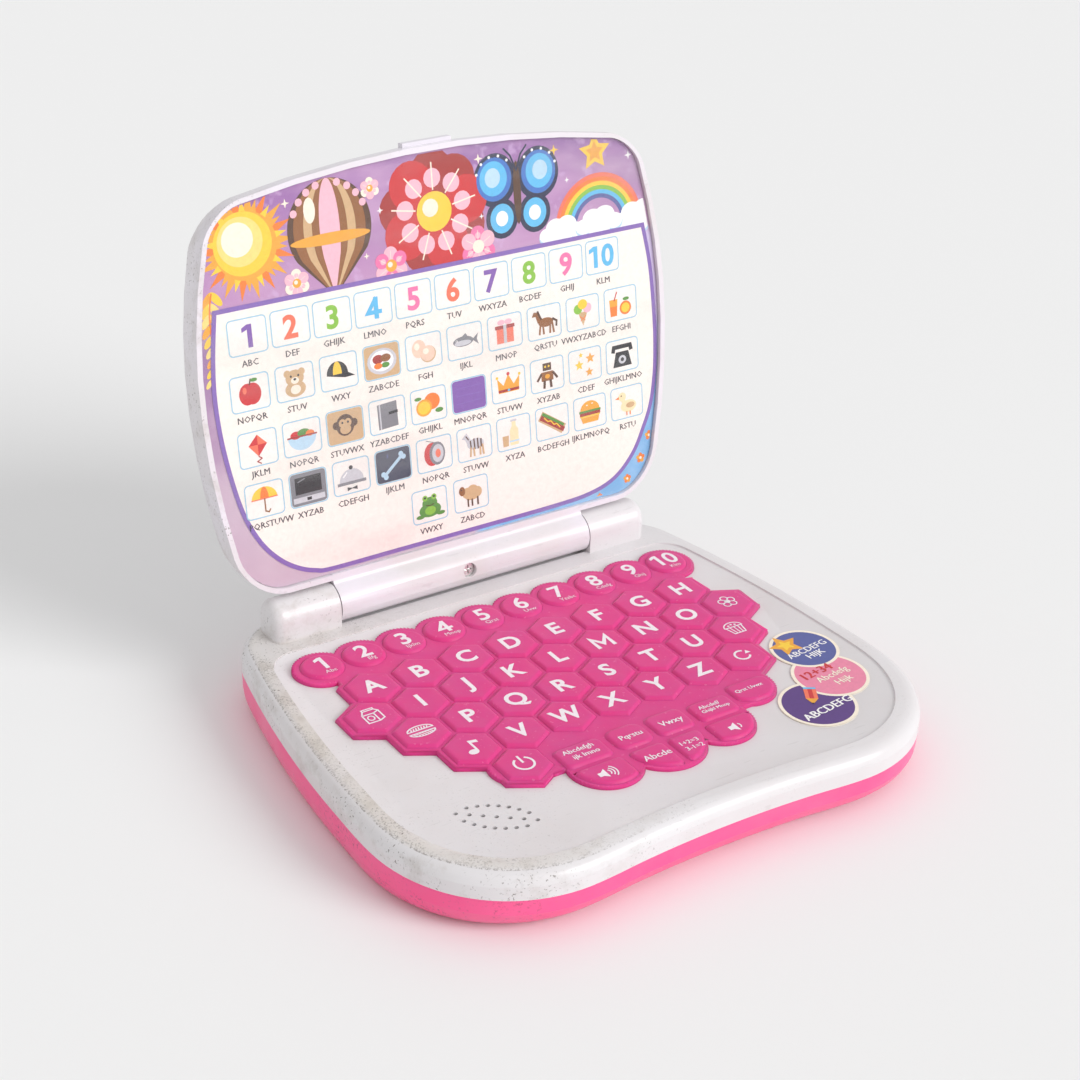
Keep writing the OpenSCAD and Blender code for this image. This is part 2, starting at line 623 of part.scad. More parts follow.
// Smooth run of points through a list of bends
lead_steps = 5;
function smooth(p) = concat([for (i = [0:len(p) - 2]) let (
        a = p[max(i - 1, 0)], b = p[i], c = p[i + 1], d = p[min(i + 2, len(p) - 1)])
    for (k = [0:lead_steps - 1]) let (t = k / lead_steps)
        0.5 * (2 * b + (c - a) * t + (2 * a - 5 * b + 4 * c - d) * t * t
            + (3 * b - a - 3 * c + d) * t * t * t)], [p[len(p) - 1]]);
module lead(bends, r, level) {
    path = smooth(bends);
    n = len(path);
    rings = [for (i = [0:n - 1])
        let (
            d = unit(path[min(i + 1, n - 1)] - path[max(i - 1, 0)]),
            side_way = unit(cross(d, level)),
            up_way = cross(d, side_way))
        for (k = [0:lead_sides - 1])
            path[i] + r * (cos(k * 360 / lead_sides) * side_way + sin(k * 360 / lead_sides) * up_way)];
    m = lead_sides;
    polyhedron(rings, concat(
        [[for (k = [0:m - 1]) k]],
        [for (i = [0:n - 2]) for (k = [0:m - 1])
            let (a = i * m + k, b = i * m + (k + 1) % m) [a, a + m, b + m, b]],
        [[for (k = [m - 1:-1:0]) (n - 1) * m + k]]), convexity = 8);
}
module wires() {
    z = board_z - board_t;
    x0 = speaker_at[0] + magnet_r + 1;
    x1 = bay_l / 2 + bay_wall;
    color("firebrick") for (s = [-1, 1]) {
        lead([[x0, speaker_at[1] - 2 * s, ceiling_z - basket_depth - 2.6],
            [x0 + 5, speaker_at[1] + 1 - 2 * s, 9], [-44 + 2 * s, letters_y - 62 - 2 * s, 7.5],
            [-41 + 2 * s, letters_y - 50 - 2 * s, 8.5], [-40 + 2 * s, letters_y - 40.3 - s, z - 2.4],
            [-40 + 2 * s, letters_y - 40 - s, z - lead_gap]], 0.6, [1, -0.5, 0]);
        lead([[x1 + 0.05, bay_y + 6 * s, 8], [x1 + 2, bay_y + 6 * s, 8.3],
            [x1 + 3.8, bay_y + 6 * s, z - 2.6], [x1 + 4, bay_y + 6 * s, z - lead_gap]], 0.6, [0, 1, 0]);
    }
}

// Discs of the badge: distance in from the case's side, pitches in front of the first row, radius
badges = [[21.3, -2.88, 11.4], [24.5, -3.86, 12.5], [38.9, -4.52, 12.5]];
module badge_sticker() {
    color([0.5, 0.3, 0.65]) translate([0, 0, panel_z]) linear_extrude(0.15)
        for (b = badges) translate([case_w / 2 - b[0], letters_y + b[1] * key_pitch]) circle(b[2]);
}

module hinge_pins() {
    color(steel) for (s = [-1, 1]) translate([s * (barrel_l / 2 + knuckle_gap / 2), hinge_y, hinge_z])
        rotate([0, 90, 0]) cylinder(r = pin_r, h = pin_l, center = true);
}

// Lid pieces stand upright over the hinge axis and lean back together
module lean() {
    translate([0, hinge_y, hinge_z]) rotate([-lid_lean, 0, 0]) children();
}
module lid_slab(inset, from, to) {
    rotate([90, 0, 0]) translate([0, 0, from]) linear_extrude(to - from) polygon(lid_ring(inset, inset));
}
// Profile of the barrel and of the apron that joins it to the lid, front to the right
neck_t = 4.4;   // how far the neck's back lies behind the axis
module barrel_profile() {
    fillet_v = sqrt(pow(barrel_r + apron_fillet, 2) - pow(lid_front_t + apron_fillet, 2));
    tangent_t = (lid_front_t + apron_fillet) * barrel_r / (barrel_r + apron_fillet);
    circle(barrel_r);
    translate([-neck_t, 0]) square([neck_t + lid_front_t, lid_start + 2]);
    difference() {
        translate([lid_front_t - cut, 0]) square([tangent_t - lid_front_t + cut, fillet_v]);
        translate([lid_front_t + apron_fillet, fillet_v]) circle(apron_fillet);
    }
}
// Stretch of the barrel's profile along the hinge axis
module barrel(length, t_from, t_to) {
    rotate([90, 0, -90]) linear_extrude(length, center = true) intersection() {
        barrel_profile();
        translate([t_from, -2 * barrel_r]) square([t_to - t_from, 4 * barrel_r]);
    }
}
module barrel_hollow() {
    difference() {
        rotate([0, 90, 0]) cylinder(r = barrel_r - barrel_wall, h = barrel_l - 2 * bearing_l, center = true);
        rotate([90, 0, 0]) cylinder(r = 4, h = 4 * barrel_r, center = true);
    }
}
module lid_front() {
    color(white) lean() difference() {
        union() {
            difference() {
                lid_slab(0, lid_split, lid_front_t);
                lid_slab(lid_rim, card_back, lid_front_t + cut);
            }
            barrel(barrel_l, lid_split, 2 * barrel_r);
            // full bearings at both ends
            for (s = [-1, 1]) translate([s * (barrel_l - bearing_l) / 2, 0, 0]) rotate([0, 90, 0])
                cylinder(r = barrel_r, h = bearing_l, center = true);
        }
        barrel_hollow();
        for (s = [-1, 1]) translate([s * (barrel_l / 2 - pin_l / 4), 0, 0]) rotate([0, 90, 0])
            cylinder(r = pin_r + pin_gap, h = pin_l / 2 + 0.6, center = true);
        rotate([90, 0, 0]) {
            translate([0, 0, lid_split - cut]) cylinder(r = screw_r + 0.2, h = 2 * barrel_r);
            translate([0, 0, barrel_r - 3]) cylinder(r = 2.5, h = barrel_r);
        }
    }
}
// Domed back: [pulled in at the sides, at the top and bottom, depth behind the axis]
back_profile = [[3.6, 9.5, 1], [1.6, 6.5, 0.95], [0.6, 4.2, 0.85], [0.25, 2, 0.68], [0.1, 0.5, 0.43]];
module dome(wall_t, front) {
    rotate([90, 0, 0]) skin(concat(
        [for (p = back_profile) [lid_ring(p[0] + wall_t, p[1] + wall_t), -p[2] * lid_back_t + wall_t]],
        [[lid_ring(wall_t, wall_t), front]]));
}
module lid_back() {
    color(white) lean() difference() {
        union() {
            difference() {
                dome(0, lid_split - touch / 2);
                dome(lid_wall, lid_split + cut);
            }
            barrel(barrel_l - 2 * bearing_l - 0.4, -2 * barrel_r, lid_split - touch / 2);
            for (s = [-1, 1]) translate([s * (barrel_l - bearing_l) / 2 - bearing_l / 2, -lid_split + touch / 2, barrel_r + 0.2])
                cube([bearing_l, neck_t + lid_split - touch / 2, lid_start + 1 - barrel_r]);
            translate([-lip_w / 2, -lid_split + touch / 2, lid_start + lid_h - lid_wall])
                cube([lip_w, 2.6, lid_wall + lip_rise]);
        }
        barrel_hollow();
        rotate([90, 0, 0]) translate([0, 0, -5.2]) cylinder(r = screw_r + screw_gap, h = 6);
    }
}
module picture_card() {
    color([0.96, 0.93, 0.88]) lean() lid_slab(lid_rim + card_gap, card_back, card_front);
}
module clear_cover() {
    color([0.9, 0.93, 0.96, 0.4]) lean() lid_slab(lid_rim + card_gap, card_front, cover_front);
}
module lid_screw() {
    color(steel) lean() rotate([90, 0, 0]) translate([0, 0, barrel_r - 3]) rotate([180, 0, 0])
        screw(screw_r, 2.3, 1.4, barrel_r - 3 + 5);
}

bottom_case();
top_case();
keypad_mat();
circuit_board();
board_parts();
speaker_basket();
speaker_cone();
battery_door();
batteries();
battery_contacts();
case_screws();
wires();
badge_sticker();
hinge_pins();
lid_back();
lid_front();
picture_card();
clear_cover();
lid_screw();
for (i = [0:25]) hex_key(letter_at(i));
for (i = [0:9]) number_key(i);
for (i = [0:2]) hex_key(at_key(extra_keys[i][0], extra_keys[i][1]));
block_key(volume_up_key);  // key_volume_up
block_key(volume_down_key);  // key_volume_down
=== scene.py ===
from math import atan2, cos, hypot, pi, radians, sin, sqrt, tan
import bpy
import bmesh
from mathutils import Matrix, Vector


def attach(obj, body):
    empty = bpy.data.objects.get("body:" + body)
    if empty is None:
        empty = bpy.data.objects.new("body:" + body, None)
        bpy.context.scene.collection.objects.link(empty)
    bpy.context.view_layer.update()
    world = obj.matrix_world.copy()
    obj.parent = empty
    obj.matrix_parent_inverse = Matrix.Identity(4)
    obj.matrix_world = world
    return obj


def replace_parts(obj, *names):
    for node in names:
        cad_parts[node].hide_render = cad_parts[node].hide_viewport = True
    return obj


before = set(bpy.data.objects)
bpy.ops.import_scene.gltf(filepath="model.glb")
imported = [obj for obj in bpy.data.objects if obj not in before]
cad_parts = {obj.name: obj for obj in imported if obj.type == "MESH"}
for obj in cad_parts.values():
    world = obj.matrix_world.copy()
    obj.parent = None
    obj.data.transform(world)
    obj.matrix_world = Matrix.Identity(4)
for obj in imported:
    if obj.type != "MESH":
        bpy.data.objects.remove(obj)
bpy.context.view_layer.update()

scene = bpy.context.scene
scene.view_settings.view_transform = "Standard"
mm = 0.001

# colours and finishes


def tone(red, green, blue):
    def linear(c):
        c = c / 255
        return c / 12.92 if c <= 0.04045 else ((c + 0.055) / 1.055) ** 2.4
    return (linear(red), linear(green), linear(blue), 1)


def fill(tree, node, values):
    # numbers and colours go onto a node's sockets, and other nodes' outputs are linked to them
    for socket, value in values.items():
        if isinstance(value, bpy.types.NodeSocket):
            tree.links.new(value, node.inputs[socket])
        else:
            node.inputs[socket].default_value = value


def addNode(tree, kind, values, output=0, **settings):
    node = tree.nodes.new(kind)
    for key, value in settings.items():
        setattr(node, key, value)
    fill(tree, node, values)
    return node.outputs[output]


class Finish:
    # a material and short ways of adding its nodes
    def __init__(self, name, roughness=0.4, sockets=None):
        self.material = bpy.data.materials.new(name)
        self.material.use_nodes = True
        self.tree = self.material.node_tree
        self.place = self.add("ShaderNodeTexCoord", {}, "Object")
        self.dress({"Roughness": roughness, **(sockets or {})})

    def add(self, kind, values, output=0, **settings):
        return addNode(self.tree, kind, values, output, **settings)

    def dress(self, values):
        fill(self.tree, self.tree.nodes["Principled BSDF"], values)
        return self.material

    def noise(self, scale, detail=3, stretch=None, rough=0.55):
        place = self.place
        if stretch:
            place = self.add("ShaderNodeMapping", {"Vector": place, "Scale": stretch})
        return self.add("ShaderNodeTexNoise", {"Vector": place, "Scale": scale, "Detail": detail,
                                               "Roughness": rough})

    def between(self, value, low, high, start=0.0, end=1.0):
        return self.add("ShaderNodeMapRange", {"Value": value, "From Min": low, "From Max": high,
                                               "To Min": start, "To Max": end})

    def patches(self, scale, detail, low, high, start=0.0, end=1.0, **how):
        # from start to end where the noise climbs from low to high
        return self.between(self.noise(scale, detail, **how), low, high, start, end)

    def along(self, letter, low, high, start=0.0, end=1.0):
        # from start to end between two places on an axis, in millimetres
        place = self.add("ShaderNodeSeparateXYZ", {0: self.place}, letter)
        return self.between(place, low * mm, high * mm, start, end)

    def combine(self, how, one, two):
        return self.add("ShaderNodeMath", {0: one, 1: two}, operation=how)

    def times(self, first, *others):
        for other in others:
            first = self.combine("MULTIPLY", first, other)
        return first

    def mix(self, share, one, two):
        return self.add("ShaderNodeMix", {0: share, 6: one, 7: two}, 2, data_type="RGBA")

    def bump(self, height, depth, strength):
        return self.add("ShaderNodeBump", {"Strength": strength, "Distance": depth, "Height": height})


shellLook = {"warm": tone(219, 214, 215), "speck": tone(112, 104, 98), "greying": tone(180, 171, 163),
             "rimTop": tone(211, 204, 195), "coat": {"Coat Weight": 0.25, "Coat Roughness": 0.18},
             "roughness": (0.28, 0.48), "speckScale": 1150, "grainScale": 1500, "pepperScale": 1700,
             "patchScale": 26, "cloudScale": 90}


def whiteShell(name, clean, greying, deckZ=None):
    # glossy white plastic with dust specks, fine scuffs, and grey clouds that grow between two places on X
    f = Finish(name, 0.4, shellLook["coat"])
    patches = f.patches(shellLook["patchScale"], 4, 0.4, 0.68)
    fade = f.mix(patches, clean, shellLook["warm"])
    side = f.along("X", *greying)
    # grey clouds, from none at the first place on X to full at the second
    greyed = f.times(side, f.patches(shellLook["cloudScale"], 5, 0.5, 0.74, rough=0.7), 0.7)
    specks = f.times(f.patches(shellLook["speckScale"], 2, 0.63, 0.68), f.patches(70, 3, 0.4, 0.62),
                     f.between(side, 0, 1, 0.1, 1))
    if deckZ:
        # the sunk deck is kept clear, and the grey clouds and specks stay on the rim and in the step round the
        # deck
        above = f.along("Z", deckZ + 0.04, deckZ + 0.16)
        rim = f.combine("MAXIMUM", above, f.along("Z", deckZ - 0.8, deckZ - 0.1, 1, 0))
        greyed = f.times(greyed, f.between(rim, 0, 1, 0.1, 1))
        specks = f.times(specks, f.between(rim, 0, 1, 0.3, 1))
        step = f.times(above, f.along("Z", deckZ + 0.2, deckZ + 0.5, 1, 0))
        grains = f.times(step, f.patches(shellLook["grainScale"], 2, 0.5, 0.58), side, 0.75)
        specks = f.combine("MAXIMUM", specks, grains)
        # the rim's top is beige and peppered, less so towards the clean side and on the knuckles
        top = f.times(f.along("Z", deckZ + 0.06, deckZ + 0.5), f.along("Z", deckZ + 0.9, deckZ + 1.6, 1, 0.15),
                      side, side, f.patches(45, 4, 0.34, 0.6, 0.45, 1))
        fade = f.mix(f.times(top, 0.95), fade, shellLook["rimTop"])
        pepper = f.times(top, f.patches(shellLook["pepperScale"], 2, 0.55, 0.61),
                         f.patches(120, 3, 0.38, 0.56), 0.7)
        specks = f.combine("MAXIMUM", specks, pepper)
    fade = f.mix(specks, f.mix(greyed, fade, shellLook["greying"]), shellLook["speck"])
    hair = f.patches(95, 2, 0.67, 0.71, 0, 0.1, stretch=(1, 9, 3))
    return f.dress({"Base Color": f.mix(hair, fade, shellLook["speck"]),
                    "Roughness": f.patches(48, 4, 0.35, 0.7, *shellLook["roughness"]),
                    "Normal": f.bump(f.noise(340), 0.00003, 0.35)})


pinkLook = {"bright": tone(255, 80, 145), "dull": tone(251, 95, 151), "dust": tone(205, 92, 130),
            "scuff": tone(110, 42, 66), "scuffX": (-60, -76), "scuffY": (5, -22), "roughness": (0.3, 0.5),
            "body": {"Coat Weight": 0.3, "Subsurface Weight": 0.15, "Subsurface Scale": 0.004,
                     "Subsurface Radius": (1, 0.35, 0.5)}}


def pinkShell(name):
    # bright pink plastic, duller where dust sits on it, and scuffed round one front corner
    f = Finish(name, 0.4, pinkLook["body"])
    body = f.mix(f.patches(34, 5, 0.42, 0.7), pinkLook["bright"], pinkLook["dull"])
    dust = f.patches(900, 2, 0.64, 0.72, 0, 0.45)
    corner = f.times(f.along("X", *pinkLook["scuffX"]), f.along("Y", *pinkLook["scuffY"]))
    scuffs = f.times(f.patches(900, 4, 0.52, 0.62, rough=0.7), f.patches(60, 2, 0.42, 0.58))
    dusty = f.mix(dust, body, pinkLook["dust"])
    return f.dress({"Base Color": f.mix(f.times(corner, scuffs, 0.5), dusty, pinkLook["scuff"]),
                    "Roughness": f.patches(60, 4, 0.35, 0.7, *pinkLook["roughness"]),
                    "Normal": f.bump(f.noise(400), 0.00003, 0.3)})


rubberLook = {"deep": tone(220, 48, 132), "bloom": tone(212, 62, 138), "lint": tone(236, 150, 185),
              "roughness": (0.42, 0.62),
              "body": {"Sheen Weight": 0.25, "Sheen Roughness": 0.45, "Sheen Tint": tone(255, 190, 220),
                       "Subsurface Weight": 0.4, "Subsurface Scale": 0.0016,
                       "Subsurface Radius": (1, 0.3, 0.5)}}


def softRubber(name):
    # satin silicone with a dusty bloom and a fine moulded grain
    f = Finish(name, 0.4, rubberLook["body"])
    body = f.mix(f.patches(55, 5, 0.4, 0.72, rough=0.65), rubberLook["deep"], rubberLook["bloom"])
    return f.dress({"Base Color": f.mix(f.patches(760, 2, 0.67, 0.74, 0, 0.3), body, rubberLook["lint"]),
                    "Roughness": f.patches(120, 4, 0.35, 0.7, *rubberLook["roughness"]),
                    "Normal": f.bump(f.noise(1500, 2), 0.00002, 0.5)})


def plainFinish(name, one, two, scale, roughness, metallic=0.0, coat=0.0, depth=0.00002, stretch=None):
    # two close colours in a fine pattern, for the small and hidden pieces
    f = Finish(name, roughness, {"Coat Weight": coat, "Metallic": metallic})
    return f.dress({"Base Color": f.mix(f.patches(scale, 3, 0.35, 0.68, stretch=stretch), one, two),
                    "Roughness": f.patches(scale * 0.6, 3, 0.3, 0.7, roughness * 0.8, roughness * 1.25,
                                           stretch=stretch),
                    "Normal": f.bump(f.noise(scale * 1.4, 2, stretch), depth, 0.3)})


inkTones = {
    "red": (208, 52, 56), "brick": (168, 52, 48), "leaf": (92, 150, 66), "lime": (140, 196, 70),
    "brown": (150, 98, 56), "bark": (92, 62, 44), "tan": (212, 176, 132), "cream": (252, 240, 222),
    "peach": (253, 222, 130), "yellow": (252, 208, 62), "amber": (240, 170, 60), "orange": (243, 130, 52),
    "black": (46, 44, 48), "grey": (132, 132, 138), "silver": (206, 206, 212), "white": (252, 250, 250),
    "cell": (248, 243, 237), "purple": (134, 96, 176), "sky": (98, 190, 236), "blue": (70, 120, 198),
    "paleBlue": (190, 222, 242), "pink": (240, 120, 172), "coral": (243, 120, 92), "night": (44, 48, 78),
    "rose": (250, 190, 205), "border": (136, 106, 182), "lines": (160, 206, 228), "text": (74, 70, 78),
    "paper": (253, 243, 234), "butter": (250, 230, 184), "eggshell": (243, 210, 188), "navy": (88, 96, 160),
    "plum": (92, 60, 130), "bloom": (236, 138, 168), "legend": (246, 236, 242)}
inks = {}


def ink(name):
    # printing ink on card or film, slightly uneven
    if name not in inks:
        r, g, b = inkTones[name]
        f = Finish("print_" + name, 0.45)
        thin = 0.965
        soak = f.patches(700, 2, 0.3, 0.7)
        inks[name] = f.dress({"Base Color": f.mix(soak, tone(r, g, b), tone(r * thin, g * thin, b * thin))})
    return inks[name]


white = whiteShell("white_case_plastic", tone(223, 220, 222), (10, -98), deckZ=20.8)
lidWhite = whiteShell("white_lid_plastic", tone(228, 223, 231), (-40, -98))
pink = pinkShell("pink_case_plastic")
rubber = softRubber("magenta_silicone")
print("finishes ready")

# shared ways of making pieces

making = {"weld": 0.000002, "level": 0.00002, "tiny": 1e-7, "flatWithin": 0.6, "bevelAngle": 40}


def softenShading(mesh, angle):
    mesh.polygons.foreach_set("use_smooth", [True] * len(mesh.polygons))
    mesh.set_sharp_from_angle(angle=radians(angle))


def placePiece(name, mesh, body):
    piece = bpy.data.objects.new(name, mesh)
    scene.collection.objects.link(piece)
    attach(piece, body)
    return piece


def addPiece(name, points, faces, body, finishes, angle, faceInks=None):
    mesh = bpy.data.meshes.new(name)
    mesh.from_pydata([(x * mm, y * mm, z * mm) for x, y, z in points], [], faces)
    for finish in finishes:
        mesh.materials.append(finish)
    if faceInks:
        mesh.polygons.foreach_set("material_index", faceInks)
    mesh.update()
    softenShading(mesh, angle)
    return placePiece(name, mesh, body)


def ownCopy(node, finish):
    # a welded copy of a node's shape, to work on
    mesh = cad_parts[node].data.copy()
    mesh.materials.clear()
    mesh.materials.append(finish)
    work = bmesh.new()
    work.from_mesh(mesh)
    bmesh.ops.remove_doubles(work, verts=work.verts, dist=making["weld"])
    return mesh, work


# level runs from shortest to longest, in millimetres, are rounded where they turn by more than straight
# and less than sharpest, in degrees
ringLook = {"cuts": 2, "shortest": 0.9, "longest": 16, "straight": 0.4, "sharpest": 26}


def roundRings(work):
    # level outlines made of short straight runs get extra points on the curve that they follow
    level = {}
    for e in work.edges:
        a, b = e.verts
        if abs(a.co.z - b.co.z) < making["level"]:
            level.setdefault(a, []).append(b)
            level.setdefault(b, []).append(a)

    def lean(a, b, sign):
        # how far the curve's direction at a turns away from the run from a to b
        best = None
        for other in level.get(a, []):
            if other is b:
                continue
            ax, ay = a.co.x - other.co.x, a.co.y - other.co.y
            bx, by = b.co.x - a.co.x, b.co.y - a.co.y
            before, after = hypot(ax, ay), hypot(bx, by)
            if min(before, after) < making["tiny"]:
                continue
            turn = atan2(ax * by - ay * bx, ax * bx + ay * by)
            if abs(turn) < radians(ringLook["sharpest"]) and (best is None or abs(turn) < abs(best[0])):
                best = turn, before, after
        return sign * best[0] * best[1] / (best[1] + best[2]) if best else 0.0

    def key(spot):
        return tuple(round(c * 1e5) for c in spot)

    places, runs, cuts = {}, [], ringLook["cuts"]
    for e in work.edges:
        a, b = e.verts
        dx, dy = b.co.x - a.co.x, b.co.y - a.co.y
        flat = abs(a.co.z - b.co.z) < making["level"] and len(e.link_faces) == 2
        if flat and ringLook["shortest"] * mm < hypot(dx, dy) < ringLook["longest"] * mm:
            first, second = lean(a, b, 1), lean(b, a, -1)
            if max(abs(first), abs(second)) > radians(ringLook["straight"]):
                runs.append(e)
                for k in range(1, cuts + 1):
                    t = k / (cuts + 1)
                    out = first * t * (1 - t) ** 2 + second * t * t * (1 - t)
                    places[key((a.co.x + dx * t, a.co.y + dy * t, a.co.z))] = (dy * out, -dx * out)
    old = set(work.verts)
    bmesh.ops.subdivide_edges(work, edges=runs, cuts=cuts, use_grid_fill=True)
    for v in work.verts:
        if v not in old:
            near = key(v.co)
            for step in ((0, 0, 0), (1, 0, 0), (-1, 0, 0), (0, 1, 0), (0, -1, 0), (0, 0, 1), (0, 0, -1)):
                move = places.get(tuple(n + d for n, d in zip(near, step)))
                if move:
                    v.co.x += move[0]
                    v.co.y += move[1]
                    break


def refined(node, name, body, finish, edge, rings=True):
    # the frame's own shape with welded faces, rounded edges and smooth shading
    mesh, work = ownCopy(node, finish)
    flat = radians(making["flatWithin"])
    bmesh.ops.dissolve_limit(work, angle_limit=flat, verts=work.verts, edges=work.edges)
    if rings:
        roundRings(work)
    work.to_mesh(mesh)
    work.free()
    softenShading(mesh, 32)
    piece = placePiece(name, mesh, body)
    bevel = piece.modifiers.new("rounded edges", "BEVEL")
    bevel.width = edge * mm
    bevel.segments = 2
    bevel.limit_method = "ANGLE"
    bevel.angle_limit = radians(making["bevelAngle"])
    bevel.harden_normals = False
    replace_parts(piece, node)


def loft(rings):
    # closed skin over rings of equal length, lowest first, each a list of points
    count = len(rings[0])
    points = [p for ring in rings for p in ring]
    faces = [tuple(range(count - 1, -1, -1))]
    for k in range(len(rings) - 1):
        for i in range(count):
            a, b = k * count + i, k * count + (i + 1) % count
            faces.append((a, b, b + count, a + count))
    last = (len(rings) - 1) * count
    faces.append(tuple(last + i for i in range(count)))
    return points, faces


def sides(outline):
    # each point of a closed outline with the next one
    return zip(outline, outline[1:] + outline[:1])


def area(outline):
    return sum(a[0] * b[1] - b[0] * a[1] for a, b in sides(outline)) / 2


def polar(x, y, r, degrees):
    return x + r * cos(radians(degrees)), y + r * sin(radians(degrees))


def block(x0, y0, x1, y1):
    return [(x0, y0), (x1, y0), (x1, y1), (x0, y1)]


def ellipse(x, y, rx, ry=None, steps=20, start=0, sweep=360):
    ry = ry or rx
    turn = sweep / (steps if sweep == 360 else steps - 1)
    return [(x + rx * cos(radians(start + i * turn)), y + ry * sin(radians(start + i * turn)))
            for i in range(steps)]


def star(x, y, r, inner=0.45, tips=5, start=90):
    return [polar(x, y, r * inner if i % 2 else r, start + 180 * i / tips) for i in range(2 * tips)]


def roundedOutline(corners, radius, steps=5):
    # corners counted anticlockwise, each rounded by the radius
    outline = []
    n = len(corners)
    for i, c in enumerate(corners):
        before, here, after = Vector(corners[i - 1]), Vector(c), Vector(corners[(i + 1) % n])
        one, two = (before - here).normalized(), (after - here).normalized()
        half = one.angle(two) / 2
        reach = min(radius / tan(half), (before - here).length / 2, (after - here).length / 2)
        centre = here + (one + two).normalized() * (reach * tan(half) / sin(half))
        start = (here + one * reach) - centre
        sweep = pi - 2 * half
        for k in range(steps + 1):
            t = sweep * k / steps
            outline.append((centre.x + start.x * cos(t) - start.y * sin(t),
                            centre.y + start.x * sin(t) + start.y * cos(t)))
    return outline


def pulledIn(outline, depth):
    # an anticlockwise outline moved inwards, keeping its number of points
    inner = []
    n = len(outline)
    for i, (x, y) in enumerate(outline):
        before, after = outline[i - 1], outline[(i + 1) % n]
        ax, ay = x - before[0], y - before[1]
        bx, by = after[0] - x, after[1] - y
        la, lb = hypot(ax, ay) or 1, hypot(bx, by) or 1
        nx, ny = -(ay / la + by / lb), ax / la + bx / lb
        ln = hypot(nx, ny) or 1
        share = max(0.5, sqrt(max(0.0, (1 + (ax * bx + ay * by) / la / lb) / 2)))
        inner.append((x + nx / ln * depth / share, y + ny / ln * depth / share))
    return inner


def cutTo(edge, polygon):
    # the part of a polygon that lies inside a convex, anticlockwise edge
    for (x0, y0), (x1, y1) in sides(edge):
        kept = []
        for (ax, ay), (bx, by) in sides(polygon):
            sideA = (x1 - x0) * (ay - y0) - (y1 - y0) * (ax - x0)
            sideB = (x1 - x0) * (by - y0) - (y1 - y0) * (bx - x0)
            if sideA >= 0:
                kept.append((ax, ay))
            if (sideA >= 0) != (sideB >= 0):
                t = sideA / (sideA - sideB)
                kept.append((ax + (bx - ax) * t, ay + (by - ay) * t))
        polygon = kept
        if len(polygon) < 3:
            return []
    return polygon


def ribbon(path, width, closed=False):
    # quads of even width along a path, mitred where it turns, with ends that reach a little further
    ends = len(path)
    last = ends if closed else ends - 1
    half = width / 2
    unit = []
    for k in range(last):
        (x0, y0), (x1, y1) = path[k], path[(k + 1) % ends]
        length = hypot(x1 - x0, y1 - y0) or 1
        unit.append(((x1 - x0) / length, (y1 - y0) / length))
    left, right = [], []
    for k, (x, y) in enumerate(path):
        before = unit[k - 1] if closed or k > 0 else unit[0]
        after = unit[k] if closed or k < ends - 1 else unit[-1]
        nx, ny = -(before[1] + after[1]), before[0] + after[0]
        size = hypot(nx, ny) or 1
        lean = max(0.45, (nx * -after[1] + ny * after[0]) / size)
        reach = 0.0 if closed or 0 < k < ends - 1 else half * (0.6 if k else -0.6)
        px, py = x + after[0] * reach, y + after[1] * reach
        left.append((px + nx / size * half / lean, py + ny / size * half / lean))
        right.append((px - nx / size * half / lean, py - ny / size * half / lean))
    return [[right[k], right[(k + 1) % ends], left[(k + 1) % ends], left[k]] for k in range(last)]


def glyphs(text, size, bold, middle=(0, 0), fine=4):
    # a line of plain lettering as flat faces, centred on its place
    curve = bpy.data.curves.new("lettering", "FONT")
    curve.body = text
    curve.size = size
    curve.offset = bold
    curve.align_x = "CENTER"
    curve.resolution_u = fine
    holder = bpy.data.objects.new("lettering", curve)
    scene.collection.objects.link(holder)
    bpy.context.view_layer.update()
    mesh = bpy.data.meshes.new_from_object(holder.evaluated_get(bpy.context.evaluated_depsgraph_get()))
    points = [(v.co.x, v.co.y) for v in mesh.vertices]
    faces = [tuple(p.vertices) for p in mesh.polygons]
    bpy.data.objects.remove(holder)
    bpy.data.curves.remove(curve)
    bpy.data.meshes.remove(mesh)
    xs, ys = [p[0] for p in points], [p[1] for p in points]
    dx, dy = middle[0] - (min(xs) + max(xs)) / 2, middle[1] - (min(ys) + max(ys)) / 2
    return [[(points[i][0] + dx, points[i][1] + dy) for i in face] for face in faces]


class Sheet:
    # thin printed shapes on any flat place; neighbours at one level are staggered so that none coincide
    stagger, turns = 0.09, 5

    def __init__(self, place):
        self.place = place
        self.points, self.faces, self.used, self.marks = [], [], [], []

    def lay(self, colour, polygon, level=0):
        if area(polygon) < 0:
            polygon = polygon[::-1]
        first = len(self.points)
        lift = level + self.stagger * (len(self.faces) % self.turns)
        self.points += [self.place(x, y, lift) for x, y in polygon]
        self.faces.append(tuple(range(first, first + len(polygon))))
        if colour not in self.used:
            self.used.append(colour)
        self.marks.append(self.used.index(colour))

    def stroke(self, colour, path, width, level=0, closed=False):
        for quad in ribbon(path, width, closed):
            self.lay(colour, quad, level)

    def write(self, colour, text, size, bold, middle, level=0, fine=4):
        for face in glyphs(text, size, bold, middle, fine):
            self.lay(colour, face, level)

    def frame(self, colour, outer, inner, level=0):
        for (a, b), (c, d) in zip(sides(outer), sides(inner)):
            self.lay(colour, [a, b, d, c], level)

    def piece(self, name, body, slot):
        addPiece(name, self.points, self.faces, body, [ink(c) for c in self.used], 20, self.marks)


# case

caseLook = {"topEdge": 0.35, "bottomEdge": 0.3, "doorEdge": 0.2}
refined("bottom_case", "pink_base", "case", pink, caseLook["bottomEdge"])
refined("top_case", "white_top", "case", white, caseLook["topEdge"])
refined("battery_door", "bay_door", "case", pink, caseLook["doorEdge"], rings=False)
print("case ready")

# keypad

